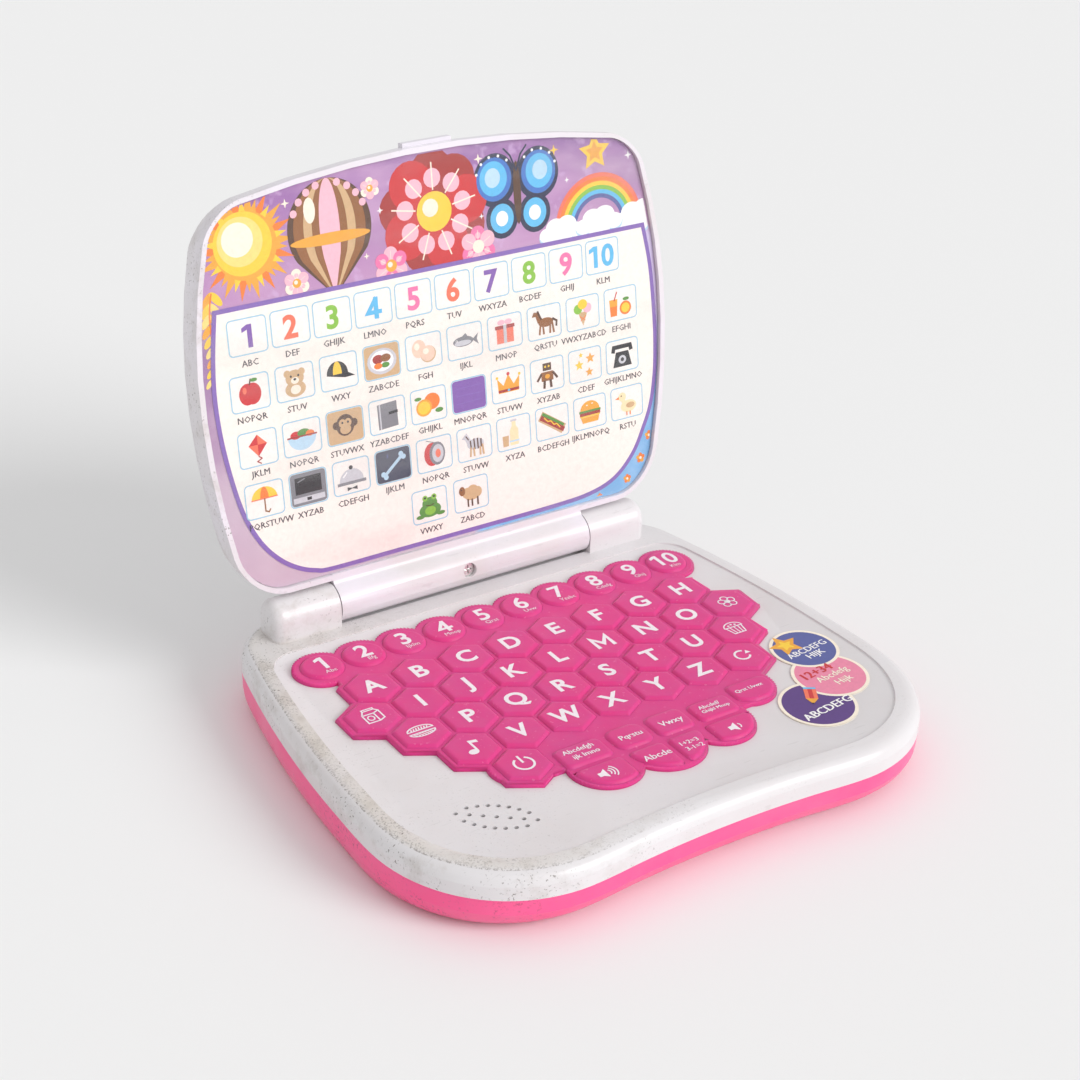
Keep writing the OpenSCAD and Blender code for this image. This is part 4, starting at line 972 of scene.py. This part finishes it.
# small pictures in millimetres around each cell's middle, each shape on top of the one before: an ink, then
# an oval's middle and half sizes, with a start and a sweep for part of one; or a list of points, with a width
# for a line; or a block's corners; or a star's middle and size. Both draws it again on the right.
pictures = {
    "apple": [("red", "both", -0.9, -0.4, 2.9, 3.5), ("coral", -1.8, 0.9, 0.7, 1.1),
              ("bark", [(0, 2.6), (0.5, 4.3)], 0.5), ("leaf", 1.6, 3.9, 1.2, 0.6)],
    "bear": [("tan", "both", -2.5, 3.0, 1.2, 1.2), ("tan", 0, -2.2, 3.6, 2.6), ("tan", 0, 1.3, 3.2, 2.7),
             ("cream", 0, 0.5, 1.4, 1.1), ("black", 0, 0.9, 0.5, 0.4), ("black", "both", -1.3, 2.0, 0.35, 0.4),
             ("cream", 0, -2.4, 1.8, 1.5)],
    "cap": [("black", -0.6, -0.8, 3.8, 4.2, 0, 180), ("yellow", -0.6, -0.8, 1.6, 4.2, 0, 180),
            ("black", [(-4.4, -0.8), (3.2, -0.8), (5.6, -2.2), (2.0, -2.3)])],
    "dinner": [("tan", "fill"), ("silver", 0, 0, 5.4, 4.3), ("white", 0, 0.1, 4.3, 3.4),
               ("brick", -1.4, 0.8, 2.0, 1.5), ("brown", 1.4, 0.9, 1.9, 1.3), ("leaf", 1.2, -1.4, 1.5, 0.9),
               ("orange", -1.5, -1.4, 1.5, 1.0)],
    "egg": [("eggshell", -1.8, 1.0, 2.6, 3.0), ("cream", -2.5, 1.8, 1.0, 1.2), ("tan", 1.55, -1.25, 2.9, 2.8),
            ("eggshell", 1.4, -1.0, 2.7, 2.6), ("cream", 0.7, -0.2, 1.1, 1.0)],
    "fish": [("grey", -0.6, 0, 3.9, 1.7), ("silver", -0.8, -0.5, 3.2, 0.9),
             ("grey", [(2.8, 0), (5.2, 1.9), (4.6, 0), (5.2, -1.9)]),
             ("grey", [(-1.4, 1.4), (0.4, 2.6), (1.4, 1.1)]), ("white", -3.1, 0.4, 0.4, 0.4),
             ("black", -3.1, 0.4, 0.2, 0.2)],
    "gift": [("coral", "block", -3.3, -3.9, 3.3, 1.2), ("brick", "block", -3.8, 1.0, 3.8, 2.2),
             ("silver", "block", -0.6, -3.9, 0.6, 2.2), ("rose", "both", -1.4, 3.2, 1.4, 0.9)],
    "horse": [("brown", 0.6, -0.2, 3.0, 1.6),
              ("brown", [(-2.6, -0.2), (-1.0, 0.9), (-2.6, 3.6), (-4.0, 3.9), (-4.9, 2.3), (-3.4, 2.3)]),
              ("brown", [(-1.6, -1), (-2.1, -4)], 0.7), ("brown", [(-0.6, -1), (-0.4, -4)], 0.7),
              ("brown", [(2.3, -1), (2.1, -4)], 0.7), ("brown", [(3.1, -0.6), (3.6, -4)], 0.7),
              ("bark", [(3.4, 0.6), (4.9, -0.4), (4.7, -2)], 0.7), ("bark", [(-2.5, 3.9), (-1.3, 1.2)], 0.7)],
    "ices": [("tan", [(-1.9, 0.2), (1.9, 0.2), (0, -4.6)]), ("lime", -1.9, 1.4, 1.7, 1.7),
             ("rose", 1.9, 1.4, 1.7, 1.7), ("yellow", 0, 2.9, 1.9, 1.7),
             ("orange", "both", [(-1.2, -1.2), (0.8, -2.7)], 0.3)],
    "juice": [("amber", [(-4.2, -4), (-1.6, -4), (-1.2, 1.8), (-4.6, 1.8)]),
              ("orange", [(-4.2, -4), (-1.6, -4), (-1.4, -0.6), (-4.4, -0.6)]), ("orange", 2.0, -1.7, 2.4, 2.4),
              ("yellow", 2.0, -1.7, 1.7, 1.7), ("leaf", 2.3, 1.4, 1.3, 0.6),
              ("red", [(-2.6, 1.4), (-1.4, 4.2)], 0.4)],
    "kite": [("coral", [(0, 4.5), (3.2, 1.2), (0, -2.6), (-3.2, 1.2)]),
             ("red", [(0, 4.5), (0, 1.2), (-3.2, 1.2)]), ("red", [(0, -2.6), (3.2, 1.2), (0, 1.2)]),
             ("brick", [(0, -2.6), (1.0, -3.4), (-0.6, -4.2), (0.6, -5)], 0.35)],
    "lunch": [("paleBlue", 0, 0.4, 5.0, 4.6, 180, 180), ("red", -2.2, 1.0, 1.9, 1.3),
              ("leaf", 0.6, 1.4, 2.2, 1.3), ("orange", 2.8, 0.9, 1.5, 1.0),
              ("brick", [(-5.1, 0.4), (5.1, 0.4)], 0.5)],
    "monkey": [("tan", "fill"), ("bark", "both", -3.3, 0.7, 1.2, 1.3), ("bark", 0, 0.4, 3.3, 3.6),
               ("tan", "both", -1.0, 1.1, 1.3, 1.4), ("tan", 0, -1.0, 2.0, 1.6),
               ("black", "both", -1.0, 1.3, 0.35, 0.4)],
    "notebook": [("grey", [(-3.4, -4.4), (3.8, -4.0), (3.6, 4.4), (-3.6, 4.0)]),
                 ("silver", [(-2.6, -4.2), (-2.7, 4)], 0.5), ("black", [(0.8, 0.6), (3.6, 0.8)], 0.9)],
    "orange": [("orange", 1.3, 1.0, 3.0, 2.8), ("amber", -1.8, -0.7, 3.0, 2.9),
               ("yellow", -1.8, -0.7, 2.3, 2.2), ("leaf", 3.8, -2.4, 1.5, 0.8), ("leaf", -3.9, 2.6, 1.3, 0.6)],
    "purple": [("purple", "fill"), ("border", [(-5, 2.6), (5, 2.8)], 0.3),
               ("border", [(-5, 0.2), (5, -0.1)], 0.3), ("border", [(-5, -2.5), (5, -2.3)], 0.3)],
    "crown": [("amber", [(-4, -2.6), (4, -2.6), (4.4, 2.6), (2.0, -0.1), (0, 3.6), (-2.0, -0.1), (-4.4, 2.6)]),
              ("brick", [(-3.8, -1.9), (3.8, -1.9)], 0.9), ("red", 0, 3.7, 0.6, 0.6),
              ("sky", 0, -1.9, 0.5, 0.4), ("yellow", "both", -4.4, 2.9, 0.5, 0.5)],
    "robot": [("brown", "block", -2.4, -2.2, 2.4, 1.0), ("bark", "block", -1.7, 1.4, 1.7, 4.0),
              ("yellow", "both", -0.7, 2.8, 0.4, 0.4), ("bark", "both", [(-2.4, 0.4), (-3.9, -1.6)], 0.8),
              ("bark", "both", [(-1.2, -2.2), (-1.4, -4.4)], 0.9), ("amber", 0, -0.6, 1.0, 0.8)],
    "stars": [("amber", 2.2, 2.0, 2.0), ("yellow", -2.4, 0.2, 1.9), ("amber", 1.6, -2.8, 1.7),
              ("yellow", -1.6, 3.6, 1.0)],
    "telephone": [("black", [(-3.9, -3.9), (3.9, -3.9), (2.6, 1.4), (-2.6, 1.4)]),
                  ("black", [(-3.7, 1.8), (-3.4, 3.2), (3.4, 3.2), (3.7, 1.8)], 1.5),
                  ("silver", 0, -1.4, 1.6, 1.5), ("black", 0, -1.4, 0.7, 0.7)],
    "umbrella": [("yellow", 0, 0.3, 4.5, 4.0, 0, 180), ("orange", 0, 0.3, 1.5, 4.0, 0, 180),
                 ("coral", [(-4.5, 0.4), (4.5, 0.4)], 0.4),
                 ("brown", [(0, 0.3), (0, -3.8), (1.1, -4.3), (1.7, -3.5)], 0.45)],
    "video": [("grey", "fill"), ("black", "block", -4.7, -1.6, 4.7, 4.0),
              ("silver", "block", -5.6, -4.4, 5.6, -2.6), ("black", "block", -0.8, -4.0, 0.8, -3.0),
              ("grey", [(-3.6, 2.6), (-1.2, 3.4)], 0.4)],
    "tray": [("silver", 0, -1.6, 4.4, 4.2, 0, 180), ("grey", "block", -5.2, -2.6, 5.2, -1.6),
             ("black", 0, 3.0, 0.7, 0.7), ("white", [(-2.9, 0.2), (-1.6, 1.5)], 0.5),
             ("black", [(-1.8, -3.4), (0, -3.9), (1.8, -3.4), (1.8, -4.7), (0, -4.1), (-1.8, -4.7)])],
    "xray": [("night", "fill"), ("paleBlue", [(-3.4, -3.0), (3.4, 2.6)], 1.1),
             ("paleBlue", -3.9, -2.5, 0.9, 0.9), ("paleBlue", -3.0, -3.6, 0.9, 0.9),
             ("paleBlue", 3.9, 2.1, 0.9, 0.9), ("paleBlue", 3.0, 3.2, 0.9, 0.9),
             ("navy", [(-2.0, 2.9), (-2.0, 3.9)], 0.4)],
    "yoyo": [("red", -0.9, 0, 3.0, 4.0), ("grey", 1.1, 0, 3.0, 4.0), ("silver", 1.3, 0, 2.2, 3.1),
             ("coral", 1.4, 0, 1.0, 1.5), ("grey", [(0.3, 3.8), (-2.8, 5.0)], 0.25)],
    "zebra": [("silver", 0.4, -0.3, 3.3, 1.9),
              ("silver", [(-2.6, -0.6), (-1.2, 1.1), (-2.9, 4.0), (-4.9, 2.2), (-3.6, 1.8)]),
              ("bark", [(-1.6, 1.0), (-1.4, -1.6)], 0.5), ("bark", [(-0.2, 1.5), (0, -2)], 0.5),
              ("bark", [(1.2, 1.4), (1.3, -2)], 0.5), ("bark", [(2.5, 1.0), (2.5, -1.6)], 0.5),
              ("bark", [(-3.2, 2.9), (-2.3, 1.6)], 0.4), ("tan", [(-1.5, -1.4), (-1.8, -4.3)], 0.6),
              ("tan", [(-0.4, -1.6), (-0.3, -4.3)], 0.6), ("tan", [(2.1, -1.6), (2.0, -4.3)], 0.6),
              ("tan", [(3.0, -1.0), (3.3, -4.3)], 0.6)],
    "milk": [("butter", [(-1.6, -4.3), (1.8, -4.3), (1.8, 1.0), (0.9, 2.4), (0.9, 4.3), (-0.7, 4.3),
                         (-0.7, 2.4), (-1.6, 1.0)]),
             ("silver", [(-0.9, 4.3), (1.1, 4.3)], 0.7), ("paleBlue", [(-1.6, -2.9), (1.8, -2.9)], 0.6),
             ("tan", [(-4.4, -4.3), (-2.3, -4.3), (-2.1, -0.6), (-4.6, -0.6)])],
    "hotdog": [("tan", [(-3.8, 2.4), (3.6, -2.6)], 3.6), ("leaf", [(-3.6, 3.4), (4.2, -1.8)], 1.2),
               ("brick", [(-4.2, 2.2), (4.2, -3.2)], 1.7),
               ("yellow", [(-3.2, 2.1), (-1.8, 0.6), (-0.6, 0.6), (0.6, -0.9), (1.8, -0.9), (3.0, -2.4)], 0.4)],
    "burger": [("amber", 0, 0.7, 4.0, 3.4, 0, 180), ("leaf", [(-4.2, 0.4), (4.2, 0.4)], 0.8),
               ("brick", [(-3.9, -0.5), (3.9, -0.5)], 1.1), ("yellow", [(-3.9, -1.3), (3.9, -1.3)], 0.5),
               ("amber", [(-3.8, -1.6), (3.8, -1.6), (3.2, -3.6), (-3.2, -3.6)]),
               ("cream", -1.2, 2.6, 0.4, 0.25), ("cream", 1.0, 3.0, 0.4, 0.25)],
    "duck": [("butter", 0.6, -1.4, 3.3, 2.2), ("butter", -1.9, 2.2, 1.6, 1.6),
             ("butter", [(-1.7, 1.6), (-1.0, -0.8)], 1.6), ("orange", [(-3.3, 2.5), (-4.9, 1.8), (-3.3, 1.5)]),
             ("black", -2.3, 2.6, 0.25, 0.25), ("tan", 1.4, -1.2, 1.8, 1.0),
             ("orange", [(-0.2, -3.4), (-0.2, -4.6)], 0.4), ("orange", [(1.2, -3.4), (1.2, -4.6)], 0.4)],
    "frog": [("leaf", 0, -1.6, 4.2, 2.5), ("leaf", 0, 0.8, 2.9, 2.1), ("lime", "both", -1.7, 2.7, 1.0, 1.0),
             ("black", "both", -1.7, 2.8, 0.4, 0.4), ("lime", 0, -1.8, 2.1, 1.5),
             ("bark", [(-1.5, 0.3), (0, -0.2), (1.5, 0.3)], 0.3), ("leaf", "both", -3.9, -3.4, 1.6, 0.7)],
    "sheep": [("tan", -1.6, 0.5, 1.9, 1.9), ("tan", 0.6, 1.1, 2.1, 1.9), ("tan", 2.3, 0.2, 1.9, 1.9),
              ("tan", 0.4, -0.6, 3.0, 1.7), ("brown", -3.5, 1.5, 1.2, 1.6),
              ("bark", [(-1.4, -1.8), (-1.4, -4.2)], 0.6), ("bark", [(0.2, -2), (0.2, -4.2)], 0.6),
              ("bark", [(2.4, -1.6), (2.4, -4.2)], 0.6), ("black", -3.8, 2.0, 0.25, 0.25)]}


def mirrored(value):
    return [(-x, y) for x, y in value] if isinstance(value, list) else -value


def spread(shapes):
    # a shape marked both stands for itself and its mirror image
    for shape in shapes:
        if shape[1] == "both":
            yield shape[:1] + shape[2:]
            yield (shape[0], mirrored(shape[2])) + shape[3:]
        else:
            yield shape


def drawShape(shape, x, y, level):
    colour, first = shape[:2]
    if first == "fill":
        w, h = (size - grid["fillEdge"] for size in grid["half"])
        chart.lay(colour, roundedOutline(block(x - w, y - h, x + w, y + h), grid["fillCorner"], 3), level)
        return
    points = first
    if first == "block":
        points = block(*shape[2:])
    elif len(shape) == 4:
        points = star(*shape[1:])
    elif len(shape) > 4:
        points = ellipse(*shape[1:5], 15 if shape[5:] else 18, *shape[5:])
    points = [(x + u, y + v) for u, v in points]
    if len(shape) == 3:
        chart.stroke(colour, points, shape[2], level)
    else:
        chart.lay(colour, points, level)


captions = Sheet(printPlace)
runStart = 0
w, h = grid["half"]
for row, (x0, step, v0, names, lengths) in enumerate(grid["rows"]):
    for i, (name, length) in enumerate(zip(names.split(), lengths)):
        x = x0 + step * i
        v = v0 + grid["tilt"] * (x + 70)
        edge = roundedOutline(block(x - w, v - h, x + w, v + h), grid["corner"], 3)
        cell = pulledIn(edge, grid["line"])
        top = panel["level"] + 2
        chart.frame("lines", edge, cell, top)
        chart.lay("cell", cell, top - 1)
        if row == 0:
            figures(chart, digitInks[i], name, grid["digitSize"], grid["digitBold"], (x, v), top + 1)
        else:
            for level, shape in enumerate(spread(pictures[name])):
                drawShape(shape, x, v, top + level * 0.9)
        centre, low = x + grid["nudge"].get(name, 0.0), v + grid["caption"]
        caption = letterRun(runStart, length)

        def write(shift, level):
            captions.write("text", caption, grid["captionSize"], 0, (centre + shift, low), level, 1)
        twice(write, grid["captionShift"], top, 0.5)
        runStart += length
chart.piece("chart_print", "lid", "printed_card")
captions.piece("caption_print", "lid", "printed_card")
print("chart ready")

# big plain motifs above the chart, cut off by the card's edge
cardEdge = lidOutline(lid["rim"] + 0.9)


class CutSheet(Sheet):
    def lay(self, colour, polygon, level=0):
        polygon = cutTo(cardEdge, polygon if area(polygon) > 0 else polygon[::-1])
        if polygon and abs(area(polygon)) > 0.01:
            super().lay(colour, polygon, level)


art = CutSheet(printPlace)


def sunMotif(x, y, r):
    rays = [(1.62, 0.86, ("amber", "orange")), (1.36, 0.8, ("yellow", "amber"))]
    for ring, (far, near, colours) in enumerate(rays):
        for i in range(18):
            a = radians(20 * (i + ring * 0.5))
            ray = ((near, a - 0.2), (far, a), (near, a + 0.2))
            points = [(x + r * reach * cos(t), y + r * reach * sin(t)) for reach, t in ray]
            art.lay(colours[i % 2], points, 1 + ring)
    for k, (colour, size) in enumerate([("amber", 1.0), ("yellow", 0.93), ("peach", 0.72), ("cream", 0.5)]):
        art.lay(colour, ellipse(x - r * 0.08 * k, y + r * 0.07 * k, r * size, steps=36), 3 + k)


def leafGarland(path, long, wide):
    # overlapping golden leaves in pairs down a stem
    for k, (x, y) in enumerate(path):
        grow = 1 - 0.45 * k / len(path)
        for side in (-1, 1):
            lean = -90 + side * 38
            leaf = ellipse(0, 0, long * grow, wide * grow, 15, 0, 336)
            middle = polar(x, y, long * grow * 0.8, lean)
            art.lay(("amber", "yellow", "peach")[(k + (side > 0)) % 3], leant(leaf, middle, lean), 1 + k % 3)
    art.stroke("orange", path, 0.5, 5)


def balloonMotif(x, y, r):
    gores = [("bark", 1), ("brown", 0.86), ("tan", 0.62), ("brown", 0.42), ("rose", 0.24)]
    for k, (colour, share) in enumerate(gores):
        width = r * 0.94 * share
        gore = [(x + width * sin(radians(a)), y + r * cos(radians(a))) for a in range(-125, 126, 6)]
        art.lay(colour, gore + [(x + 2.6 * share, y - r * 1.2), (x - 2.6 * share, y - r * 1.2)], 1 + k)
    art.lay("amber", ellipse(x, y - r * 0.2, r * 0.9, r * 0.12, 24), 6)
    art.lay("cream", ellipse(x - r * 0.42, y + r * 0.42, r * 0.13, r * 0.26, 16), 6)
    for i in range(9):
        a = radians(-64 + 16 * i)
        art.lay("rose", ellipse(x + r * 0.86 * sin(a), y + r * 0.92 * cos(a), r * 0.08, steps=10), 6)
    low, high = y - r * 1.75, y - r * 1.3
    art.lay("tan", [(x - 4.2, low), (x + 4.2, low), (x + 3.4, high), (x - 3.4, high)], 5)


def blossomMotif(x, y, r, petals, heart, count=6, level=4):
    turns = [90 + 360 / count * i for i in range(count)]
    for i, turn in enumerate(turns):
        art.lay(petals[i % 2], ellipse(*polar(x, y, r * 0.62, turn), r * 0.41, steps=20), level + (i % 2) * 0.5)
        art.lay("rose", ellipse(*polar(x, y, r * 0.55, turn), r * 0.16, steps=14), level + 1)
    for turn in turns:
        art.stroke("cream", [polar(x, y, r * 0.36, turn), polar(x, y, r * 0.8, turn)], r * 0.025, level + 1.5)
    art.lay(heart, ellipse(x, y, r * 0.33, steps=24), level + 2)
    art.lay("cream", ellipse(x - r * 0.07, y + r * 0.07, r * 0.15, steps=14), level + 3)


def butterflyMotif(x, y, r):
    # upper wings: ink, half width and half height; lower wings: ink and half width
    upper = [("night", 0.56, 0.6), ("blue", 0.46, 0.49), ("sky", 0.36, 0.39), ("paleBlue", 0.2, 0.22)]
    lower = [("night", 0.42), ("sky", 0.31), ("white", 0.16)]
    for s in (-1, 1):
        for k, (colour, w, h) in enumerate(upper):
            middle = (x + s * r * (0.57 + 0.02 * k), y + r * (0.36 + 0.02 * k))
            art.lay(colour, ellipse(*middle, r * w, r * h, 26), 1 + k)
        for k, (colour, w) in enumerate(lower):
            art.lay(colour, ellipse(x + s * r * 0.44, y - r * 0.52, r * w, r * w * 1.08, 22), 1.5 + k)
        for k in range(5):
            a = radians(20 + 28 * k)
            middle = (x + s * r * (0.57 + 0.5 * cos(a)), y + r * (0.36 + 0.54 * sin(a)))
            art.lay("white", ellipse(*middle, r * 0.035, steps=8), 5)
        feeler = [(x, y + r * 0.5), (x + s * r * 0.14, y + r * 0.85), (x + s * r * 0.3, y + r * 1.02)]
        art.stroke("night", feeler, 0.6, 5)
    art.lay("bark", ellipse(x, y, r * 0.1, r * 0.72, 16), 5)


def cloudMotif(x, y, r, level=2):
    puffs = ((-1.1, -0.1, 0.62), (-0.45, 0.3, 0.78), (0.4, 0.35, 0.82), (1.1, -0.05, 0.64), (0, -0.25, 0.9))
    for k, (colour, lift, size) in enumerate([("paleBlue", -0.3, 0.98), ("white", 0.4, 0.93)]):
        for u, v, w in puffs:
            puff = ellipse(x + u * r, y + v * r + lift, r * w * size, r * w * 0.8 * size, 22)
            art.lay(colour, puff, level + 0.5 * k)


def rainbowMotif(x, y, r):
    def arch(share):
        return ellipse(x, y, r * share, steps=27, start=0, sweep=180)
    for k, colour in enumerate(("coral", "orange", "yellow", "lime", "sky", "navy")):
        art.frame(colour, arch(1 - 0.08 * k), arch(0.92 - 0.08 * k), 1)
    cloudMotif(x - r * 0.86, y, r * 0.3)
    cloudMotif(x + r * 0.92, y, r * 0.34, 3)


sunMotif(-66.5, 121, 10.6)
leafGarland([(-79.4 - 0.35 * k - 0.6 * sin(k * 0.8), 108.5 - 3.3 * k) for k in range(9)], 2.9, 1.25)
balloonMotif(-37.5, 121.5, 15.6)
blossomMotif(0, 120.5, 19.5, ("brick", "red"), "yellow", 9, 1)
blossomMotif(15.5, 106.5, 6.6, ("pink", "rose"), "cream")
blossomMotif(-17, 106, 6, ("rose", "pink"), "amber")
butterflyMotif(31.5, 121.5, 14.5)
rainbowMotif(63, 105.5, 17.5)
art.lay("yellow", star(62.5, 130, 6.4, 0.5), 3)
art.lay("amber", star(62.5, 130, 3.6, 0.5), 4)
cloudMotif(63, 106, 5.6, 4)
blossomMotif(-50.5, 106.5, 4.4, ("cream", "rose"), "amber")
blossomMotif(-22.5, 131.5, 3.4, ("cream", "rose"), "amber")
sparkles = [(-52, 131.5, 1.5, "cream"), (-19.5, 124, 1.2, "white"), (-49.5, 118, 1.0, "white"),
            (17.5, 134.5, 1.7, "cream"), (46.5, 133, 1.8, "yellow"), (46, 109, 1.3, "cream"),
            (76, 127, 1.6, "white"), (44, 126.5, 0.9, "white"), (-25.5, 110.5, 1.1, "cream"),
            (-72, 137, 1.0, "white"), (17.4, 116, 1.0, "white"), (51, 122.5, 1.0, "white")]
for x, y, r, colour in sparkles:
    art.lay(colour, star(x, y, r, 0.32, 4), 2)
# small flowers along the lower margin
marginFlowers = [(18, 9.2, 0.9), (31, 9.0, 1.1), (45, 9.4, 1.0), (58, 10.4, 1.2), (70, 14.2, 1.6),
                 (76, 20.5, 1.8), (80, 28, 1.7), (83.3, 36.5, 1.3)]
for x, v, r in marginFlowers:
    for k in range(5):
        petal = ellipse(*polar(x, v, r * 0.62, 90 + 72 * k), r * 0.42, steps=10)
        art.lay("amber" if k % 2 else "orange", petal, 1)
    art.lay("cream", ellipse(x, v, r * 0.3, steps=8), 2)
art.piece("motif_print", "lid", "printed_card")


def clearSheet(name):
    # clear glossy film: see-through, with soft reflections and a few hazy streaks
    f = Finish(name, 0.1)
    f.material.surface_render_method = "BLENDED"
    facing = f.add("ShaderNodeLayerWeight", {"Blend": 0.5}, "Facing")
    rim = f.times(f.combine("POWER", facing, 5), 0.4)
    haze = f.patches(16, 4, 0.5, 0.72, 0.02, 0.1, stretch=(1, 1, 3))
    see = f.add("ShaderNodeBsdfTransparent", {})
    shine = f.add("ShaderNodeBsdfGlossy", {"Roughness": 0.14})
    blend = f.add("ShaderNodeMixShader", {0: f.combine("ADD", rim, haze), 1: see, 2: shine})
    fill(f.tree, f.tree.nodes["Material Output"], {"Surface": blend})
    return f.material


film = {"back": 0.66, "front": 0.9}
plate("clear_film", film["back"], film["front"], clearSheet("clear_film"), "clear_cover")
print("lid ready")

# the pieces that keep the frame's shape
steel = plainFinish("nickel_steel", tone(226, 224, 222), tone(204, 202, 200), 900, 0.4, 1.0)
darkSteel = plainFinish("screw_steel", tone(120, 116, 112), tone(88, 84, 80), 1400, 0.42, 1.0)
kept = {
    "lid_screw": steel, "hinge_pins": steel, "case_screws": darkSteel, "battery_contacts": steel,
    "circuit_board": plainFinish("board_laminate", tone(34, 104, 62), tone(44, 122, 74), 240, 0.4, coat=0.3),
    "board_parts": plainFinish("moulded_resin", tone(28, 28, 30), tone(44, 44, 48), 1800, 0.5),
    "speaker_basket": plainFinish("pressed_basket", tone(150, 150, 152), tone(124, 124, 128), 600, 0.4, 0.9),
    "speaker_cone": plainFinish("pressed_paper", tone(38, 36, 36), tone(58, 54, 52), 1300, 0.85, depth=0.00006),
    "batteries": plainFinish("cell_sleeve", tone(42, 92, 160), tone(52, 106, 176), 320, 0.3, coat=0.4,
                             depth=0.00001, stretch=(1, 6, 6)),
    "wires": plainFinish("lead_insulation", tone(192, 40, 38), tone(160, 30, 30), 500, 0.45),
    "badge_sticker": plainFinish("sticker_edge", tone(244, 238, 226), tone(234, 226, 214), 500, 0.4)}
for node, finish in kept.items():
    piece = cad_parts[node]
    if not piece.material_slots:
        piece.data.materials.append(finish)
    for slot in piece.material_slots:
        slot.material = finish
print("kept pieces ready")

# floor, light and camera

floorLook = {"half": 12.0, "z": -0.0002, "tone": tone(239, 239, 239)}
mesh = bpy.data.meshes.new("floor")
corners = block(-floorLook["half"], -floorLook["half"], floorLook["half"], floorLook["half"])
mesh.from_pydata([(x, y, floorLook["z"]) for x, y in corners], [], [(0, 1, 2, 3)])
floor = bpy.data.objects.new("floor", mesh)
scene.collection.objects.link(floor)
mesh.materials.append(Finish("pale_floor", 0.7).dress({"Base Color": floorLook["tone"]}))

light = {"world": 0.72, "backdrop": tone(241, 241, 241), "from": (0.5, -0.87, 0.55), "angle": 32, "power": 1.85}
world = bpy.data.worlds.new("studio")
scene.world = world
world.use_nodes = True
tree = world.node_tree
sky = tree.nodes["Background"]
fill(tree, sky, {"Color": (1, 1, 1, 1), "Strength": light["world"]})
# past the floor's edge the camera sees a backdrop as pale as the floor
seen = addNode(tree, "ShaderNodeLightPath", {}, "Is Camera Ray")
backdrop = addNode(tree, "ShaderNodeBackground", {"Color": light["backdrop"]})
pick = addNode(tree, "ShaderNodeMixShader", {0: seen, 1: sky.outputs[0], 2: backdrop})
fill(tree, tree.nodes["World Output"], {"Surface": pick})
data = bpy.data.lights.new("softbox", "SUN")
data.angle = radians(light["angle"])
data.energy = light["power"]
lamp = bpy.data.objects.new("softbox", data)
lamp.rotation_euler = Vector(light["from"]).to_track_quat("Z", "Y").to_euler()
scene.collection.objects.link(lamp)

view = {"place": (-0.34317, -0.47049, 0.38454), "turn": (61.506, -1.997, -33.766), "lens": 72.55,
        "sensor": 36, "near": 0.01}
lens = bpy.data.cameras.new("camera")
lens.lens = view["lens"]
lens.sensor_width = view["sensor"]
lens.clip_start = view["near"]
camera = bpy.data.objects.new("camera", lens)
camera.location = view["place"]
camera.rotation_euler = [radians(a) for a in view["turn"]]
scene.collection.objects.link(camera)
scene.camera = camera
print("light and camera ready")
